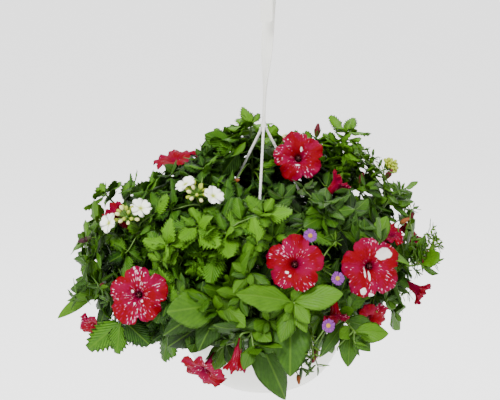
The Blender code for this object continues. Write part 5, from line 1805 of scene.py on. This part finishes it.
def plan_shoots(blooms):
    """Every shoot with its stem, its stalks and the leaves that its solid has."""
    shoots = {name: Shoot(name, *plan, seed) for seed, (name, plan) in enumerate(SHOOTS.items())}
    for shoot in shoots.values():
        draw_stem(shoot)
    for name, (owner, *_) in BLOOMS.items():
        draw_stalk(shoots[owner], blooms[name].seat, blooms[name].facing, 0.86)
    for name, (owner, seat, facing, *_) in (HEADS | DAISIES).items():
        thin = STALK_RADIUS if name in DAISIES else TWIG_RADIUS
        draw_stalk(shoots[owner], seat, facing.normalized(), 0.9, thin)
    for name, buds in BUDS.items():
        for t, centre, axis, length in buds:
            axis = axis.normalized()
            draw_stalk(shoots[name], centre - axis * (length / 2 - 3), axis, t)
    for name, leaves in CHOSEN_LEAVES.items():
        draw_chosen(shoots[name], leaves)
    for shoot in shoots.values():
        (draw_lobes if shoot.kind == "daisy" else draw_leaves)(shoot)
    return shoots


# Pot, soil and hanger


def bowl_radius(share):
    """The bowl's outer radius at a share of a quarter turn from its base to its rim."""
    return BASE_RADIUS + (RIM_RADIUS - RIM_WIDTH + WALL - BASE_RADIUS) * math.sin(share * math.pi / 2)


def bowl_height(share):
    """The bowl's height at the same share."""
    return RIM_HEIGHT * (1 - math.cos(share * math.pi / 2))


def turned(name, profile, material):
    """A turned solid from a profile that runs down its outer side, top to bottom."""
    mesh = bpy.data.meshes.new(name)
    edges = [(i, i + 1) for i in range(len(profile) - 1)]
    if profile[0][0] > 0.01:
        edges.append((len(profile) - 1, 0))
    mesh.from_pydata([(r * MM, 0.0, z * MM) for r, z in profile], edges, [])
    thing = linked(name, mesh)
    screw = thing.modifiers.new("turn", "SCREW")
    screw.axis = "Z"
    screw.steps = TURN_STEPS
    screw.render_steps = TURN_STEPS
    screw.use_merge_vertices = True
    screw.merge_threshold = 0.00001
    screw.use_smooth_shade = True
    made = baked(thing)
    made.materials.append(material)
    return made


def make_pot():
    """A smooth bowl with a rolled rim; its slots and drains are cut after turning."""
    lip = RIM_DEPTH / 2
    profile = []
    for k in range(RIM_STEPS + 1):
        angle = math.pi / 2 - math.pi * k / RIM_STEPS
        profile.append((RIM_RADIUS - lip + lip * math.cos(angle), RIM_HEIGHT - lip + lip * math.sin(angle)))
    profile.append((bowl_radius(0.985) + 1.0, RIM_HEIGHT - RIM_DEPTH - 0.1))
    for k in range(BOWL_STEPS + 1):
        share = 0.97 - 0.94 * k / BOWL_STEPS
        profile.append((bowl_radius(share), bowl_height(share)))
    profile += [(BASE_RADIUS + 1.2, 0.35), (BASE_RADIUS, 0.0), (0.0, 0.0), (0.0, WALL)]
    for k in range(INNER_STEPS + 1):
        share = 0.05 + 0.92 * k / INNER_STEPS
        profile.append((bowl_radius(share) - WALL, bowl_height(share) + WALL * (1 - share)))
    top = bowl_radius(0.98) - WALL
    profile += [(top, RIM_HEIGHT - 0.8), (top + 0.8, RIM_HEIGHT)]
    pot = linked("pot_shell", turned("pot_shell", profile, WHITE_PLASTIC))
    cutters = bpy.data.collections.new("pot_cutters")
    bpy.context.scene.collection.children.link(cutters)
    for azimuth in (45, 135, 225, 315):
        bm = bmesh.new()
        bmesh.ops.create_cone(bm, cap_ends=True, segments=24, radius1=DRAIN_RADIUS * MM,
                              radius2=DRAIN_RADIUS * MM, depth=CUT_DEPTH * MM)
        bmesh.ops.translate(bm, verts=bm.verts, vec=polar(azimuth, DRAIN_CIRCLE, 1) * MM)
        add_cutter(bm, cutters)
    for azimuth in LEG_AZIMUTHS:
        bm = bmesh.new()
        bmesh.ops.create_cube(bm, size=1.0)
        size = Matrix.Diagonal((SLOT_WIDTH * MM, SLOT_DEPTH * MM, CUT_DEPTH * MM, 1.0))
        turn = Matrix.Rotation(math.radians(azimuth), 4, "Z")
        shift = Matrix.Translation(polar(azimuth, LEG_CIRCLE, RIM_HEIGHT) * MM)
        bmesh.ops.transform(bm, matrix=shift @ turn @ size, verts=bm.verts)
        add_cutter(bm, cutters)
    cut = pot.modifiers.new("cut", "BOOLEAN")
    cut.operand_type = "COLLECTION"
    cut.operation = "DIFFERENCE"
    cut.solver = "EXACT"
    cut.collection = cutters
    mesh = baked(pot)
    for cutter in list(cutters.objects):
        bpy.data.objects.remove(cutter)
    bpy.data.collections.remove(cutters)
    mesh.shade_smooth()
    mesh.set_sharp_from_angle(angle=math.radians(40))
    ride(linked("pot_shell", mesh), "white_plastic", "pot")


def add_cutter(bm, cutters):
    """A tool for the cuts in the pot."""
    cutters.objects.link(bpy.data.objects.new("cutter", mesh_from("cutter", bm)))


def band_path():
    """The hanger's strap from its hub, up, over the hook and down to its tip."""
    toward = vec(-math.sin(HOOK_TURN), -math.cos(HOOK_TURN), 0)
    centre_height = CROWN_HEIGHT - HOOK_RADIUS
    climb = []
    for share in BAND_STATIONS:
        height = HUB_HEIGHT + (centre_height - HUB_HEIGHT) * share
        lean = vec(BAND_LEAN, BAND_LEAN, 0) * (share ** 1.3)
        climb.append(lean + UP * height)
    centre = climb[-1] + toward * HOOK_RADIUS
    for step in range(1, HOOK_STEPS):
        angle = math.pi * step / HOOK_STEPS
        climb.append(centre - toward * HOOK_RADIUS * math.cos(angle) + UP * HOOK_RADIUS * math.sin(angle))
    climb.append(centre + toward * HOOK_RADIUS)
    for lean, rise in TIP_ROWS:
        climb.append(centre + toward * (HOOK_RADIUS - lean) + UP * (HOOK_TIP_HEIGHT + rise - centre_height))
    return climb, toward


def strap_section(half_width, half_depth):
    """A strap's outline: rounded edges and a shallow channel down each face."""
    outline = []
    for k in range(STRAP_CORNERS):
        angle = math.tau * k / STRAP_CORNERS
        x, y = math.cos(angle), math.sin(angle)
        wide = math.copysign(abs(x) ** 0.45, x)
        deep = math.copysign(abs(y) ** 0.55, y)
        deep *= 0.72 + 0.28 * abs(wide) ** 3
        outline.append((wide * half_width, deep * half_depth))
    return outline


def make_hanger():
    """The hanger as one moulding: its strap, its hub and its three beaded legs."""
    path, toward = band_path()
    width_axis = UP.cross(toward).normalized()
    last = len(path) - 1
    corners = []
    for r in range(STRAP_ROWS + 1):
        t = r / STRAP_ROWS
        point = smooth_run(path, t)
        ahead = smooth_run(path, min(1.0, t + 0.004)) - smooth_run(path, max(0.0, t - 0.004))
        along = ahead.normalized()
        i = t * last
        share = held((i - NECK_START) / NECK_RUN)
        ease = share * share * (3 - 2 * share)
        wide = around(width_axis, toward, BAND_TWIST * (1 - ease))
        width = NECK_WIDTH + (BAND_WIDTH - NECK_WIDTH) * ease
        end = max(0.0, (i - last + TIP_RUN) / TIP_RUN)
        width *= math.sqrt(max(0.02, 1 - end * end)) * 0.93 + 0.07
        thick = NECK_THICKNESS + (BAND_THICKNESS - NECK_THICKNESS) * ease
        across = (wide - along * wide.dot(along)).normalized()
        depth = along.cross(across).normalized()
        for x, y in strap_section(width / 2, thick / 2):
            corners.append((point + across * x + depth * y) * MM)
    faces = tube_faces(STRAP_ROWS + 1, STRAP_CORNERS)
    faces.append(tuple(STRAP_ROWS * STRAP_CORNERS + k for k in range(STRAP_CORNERS)))
    strap = smooth_mesh("strap", corners, faces, WHITE_PLASTIC)
    fix_normals(strap)
    hub = UP * (HUB_HEIGHT - HUB_DROP)
    hubs = [([hub, hub + UP * (HUB_LENGTH / 2), hub + UP * HUB_LENGTH], HUB_RADIUS, HUB_RADIUS * 0.7)]
    legs = []
    for azimuth in LEG_AZIMUTHS:
        shoulder = polar(azimuth, SHOULDER_RADIUS, HUB_HEIGHT - SHOULDER_DROP)
        ankle = polar(azimuth, LEG_CIRCLE - ANKLE_INSET, RIM_HEIGHT + ANKLE_RISE)
        heel = polar(azimuth, LEG_CIRCLE, RIM_HEIGHT - RIM_DEPTH - HEEL_DROP)
        legs.append(([UP * (HUB_HEIGHT - 1), shoulder], LEG_RADIUS, LEG_RADIUS))
        legs.append(([ankle, heel], LEG_RADIUS, LEG_RADIUS))
        for k in range(LEG_BEADS):
            a = shoulder.lerp(ankle, k / LEG_BEADS)
            b = shoulder.lerp(ankle, (k + 1) / LEG_BEADS)
            swell = LEG_RADIUS * BEAD_SWELL
            legs.append(([a, a.lerp(b, 0.3), a.lerp(b, 0.7), b], swell * BEAD_WAIST, swell))
    meshes = [strap, stems("hub", hubs, WHITE_PLASTIC, 20), stems("legs", legs, WHITE_PLASTIC, 12)]
    ride(join("hanger_moulding", meshes), "white_plastic", "hanger")


def fix_normals(mesh):
    """Turn all faces outwards."""
    bm = bmesh.new()
    bm.from_mesh(mesh)
    bmesh.ops.recalc_face_normals(bm, faces=bm.faces)
    bm.to_mesh(mesh)
    bm.free()


def crumb_tree():
    """Crumbs scattered over a surface: small faceted lumps, sunk to their middles."""
    inputs = {"Material": "Material", "Density": "Float", "Size": "Float", "Seed": "Int"}
    sheet, flows = new_tree("crumbs", inputs)
    spots = sheet.node(
        "GeometryNodeDistributePointsOnFaces", {},
        {"Mesh": flows["Geometry"], "Density": flows["Density"], "Seed": flows["Seed"]},
    )
    lump = sheet.node("GeometryNodeMeshIcoSphere", {}, {"Radius": 1.0, "Subdivisions": 1})
    vectors = {"data_type": "FLOAT_VECTOR"}
    spread = {"Min": (0.5, 0.5, 0.4), "Max": (1.5, 1.2, 1.0), "Seed": flows["Seed"]}
    size = sheet.node("FunctionNodeRandomValue", vectors, spread)
    turns = {"Min": (0, 0, 0), "Max": (6.28, 6.28, 6.28), "Seed": 3}
    turn = sheet.node("FunctionNodeRandomValue", vectors, turns)
    copies = sheet.node(
        "GeometryNodeInstanceOnPoints", {},
        {"Points": spots, "Instance": lump, "Rotation": turn, "Scale": size * flows["Size"]},
    )
    real = sheet.node("GeometryNodeRealizeInstances", {}, {0: copies})
    return painted(sheet, real, flows)


# Crumbs on the soil: what they are of, how many to a square metre, and their size
CRUMBS = ((POTTING_SOIL, 10000.0, 2.0), (PERLITE, 2200.0, 1.6))
SOIL_SEED = 5


def make_soil():
    """A mounded, uneven surface with crumbs and white grains on it, over a plain plug."""
    inner = bowl_radius(0.95) - WALL - 0.6
    profile = [(0.0, soil_level(UP))]
    for k in range(1, SOIL_RINGS):
        radius = inner * k / (SOIL_RINGS - 1)
        profile.append((radius, soil_level(vec(radius, 0, 0)) - 0.6))
    for share in (0.85, 0.6, 0.35, 0.1):
        profile.append((bowl_radius(share) - WALL - 0.8, bowl_height(share) + WALL + 0.5))
    profile.append((0.0, WALL + 0.5))
    plug = turned("soil_plug", profile, POTTING_SOIL)
    draw = random.Random(SOIL_SEED)
    for v in plug.vertices:
        if v.co.z > (SOIL_HEIGHT - 3) * MM:
            v.co.z += draw.uniform(-0.9, 0.5) * MM
    bm = bmesh.new()
    bm.from_mesh(plug)
    bmesh.ops.delete(bm, geom=[f for f in bm.faces if f.normal.z < 0.5], context="FACES")
    surface = mesh_from("soil_top", bm)
    tree = crumb_tree()
    meshes = [plug]
    for seed, (finish, density, size) in enumerate(CRUMBS, 1):
        values = {"Material": finish, "Density": density, "Size": size * MM, "Seed": seed}
        meshes.append(grown("crumbs", surface.copy(), tree, values))
    ride(join("soil_surface", meshes), "potting_soil", "soil")


def make_flowers():
    """The petunia blooms, the verbena heads and the daisies; the blooms' plans are given back."""
    blooms = {}
    for seed, (name, (_, *plan)) in enumerate(BLOOMS.items(), BLOOM_SEED):
        blooms[name] = Bloom(*plan, seed)
        sheet = bloom_mesh(name, blooms[name], FLECKS.get(name[-1], 0.5), BLOTCHES.get(name[-1], ()))
        meshes = [solidified(sheet, LIMB_THICKNESS)] + pistil(blooms[name])
        ride(join(name + "_limb", meshes), "red_petal", name)
    for seed, (name, (_, seat, facing, florets)) in enumerate(HEADS.items(), HEAD_SEED):
        head = verbena_head(name + "_florets", seat, facing.normalized(), florets, random.Random(seed))
        ride(head, "white_petal", name)
    for seed, (name, (_, seat, facing)) in enumerate(DAISIES.items()):
        ride(daisy(name + "_flower", seat, facing.normalized(), seed), "mauve_petal", name)
    return blooms


def make_shoots(blooms):
    """Every shoot's growth, clear of the flowers, the buds and the hanger."""
    shoots = plan_shoots(blooms)
    clearings = Clearings(list(blooms.values()))
    dress_shoots(shoots, blooms, clearings)
    grow_named_twigs(shoots, clearings)
    fill_canopy(list(shoots.values()), clearings)
    for shoot in shoots.values():
        build_shoot(shoot)


# Finishing


def ride(thing, slot, *nodes):
    """Hand a piece to the frame: it rides with the basket and stands for its nodes."""
    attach(thing, "root")
    if nodes:
        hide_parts(*nodes)


def place_camera():
    """The photo's view: low tilt, long lens, the rim at its own pixel."""
    camera = linked("camera", bpy.data.cameras.new("camera"))
    camera.data.sensor_width = SENSOR_WIDTH
    camera.data.lens = SENSOR_WIDTH * FOCAL_PIXELS / PHOTO_WIDTH
    camera.data.clip_end = 100.0
    spot = (UP * AIM_HEIGHT + TOWARD_VIEWER * VIEW_DISTANCE) * MM
    look = (-TOWARD_VIEWER).to_track_quat("-Z", "Y").to_matrix().to_4x4()
    turn = math.atan((AIM_PIXEL[0] - PHOTO_WIDTH / 2) / FOCAL_PIXELS)
    tilt = math.atan((AIM_PIXEL[1] - PHOTO_HEIGHT / 2) / FOCAL_PIXELS)
    camera.matrix_world = (
        Matrix.Translation(spot) @ Matrix.Rotation(turn, 4, "Z") @ look @ Matrix.Rotation(tilt, 4, "X")
    )
    bpy.context.scene.camera = camera


def place_light(name, spot, size, power):
    """A soft square lamp that is aimed at the plant."""
    light = bpy.data.lights.new(name, "AREA")
    light.size = size
    light.energy = power
    holder = linked(name, light)
    holder.location = spot
    holder.rotation_euler = (Vector(LIT_POINT) - holder.location).to_track_quat("-Z", "Y").to_euler()


def place_studio():
    """A pale floor far below, an even pale sky, and three large soft lamps."""
    bpy.ops.mesh.primitive_plane_add(size=FLOOR_SIZE, location=(0, 0, FLOOR_HEIGHT))
    floor = bpy.context.object
    floor.name = "floor"
    glow = {"Base_Color": FLOOR_WHITE, "Emission_Color": PURE_WHITE, "Emission_Strength": FLOOR_GLOW}
    floor.data.materials.append(shaded("floor_white", 0.9, **glow)[0])
    world = bpy.data.worlds.new("studio")
    world.use_nodes = True
    sky = world.node_tree.nodes["Background"].inputs
    sky["Color"].default_value = PURE_WHITE
    sky["Strength"].default_value = 1.0
    bpy.context.scene.world = world
    for name, lamp in LAMPS.items():
        place_light(name, *lamp)


place_camera()
place_studio()
make_pot()
make_hanger()
make_soil()
make_shoots(make_flowers())
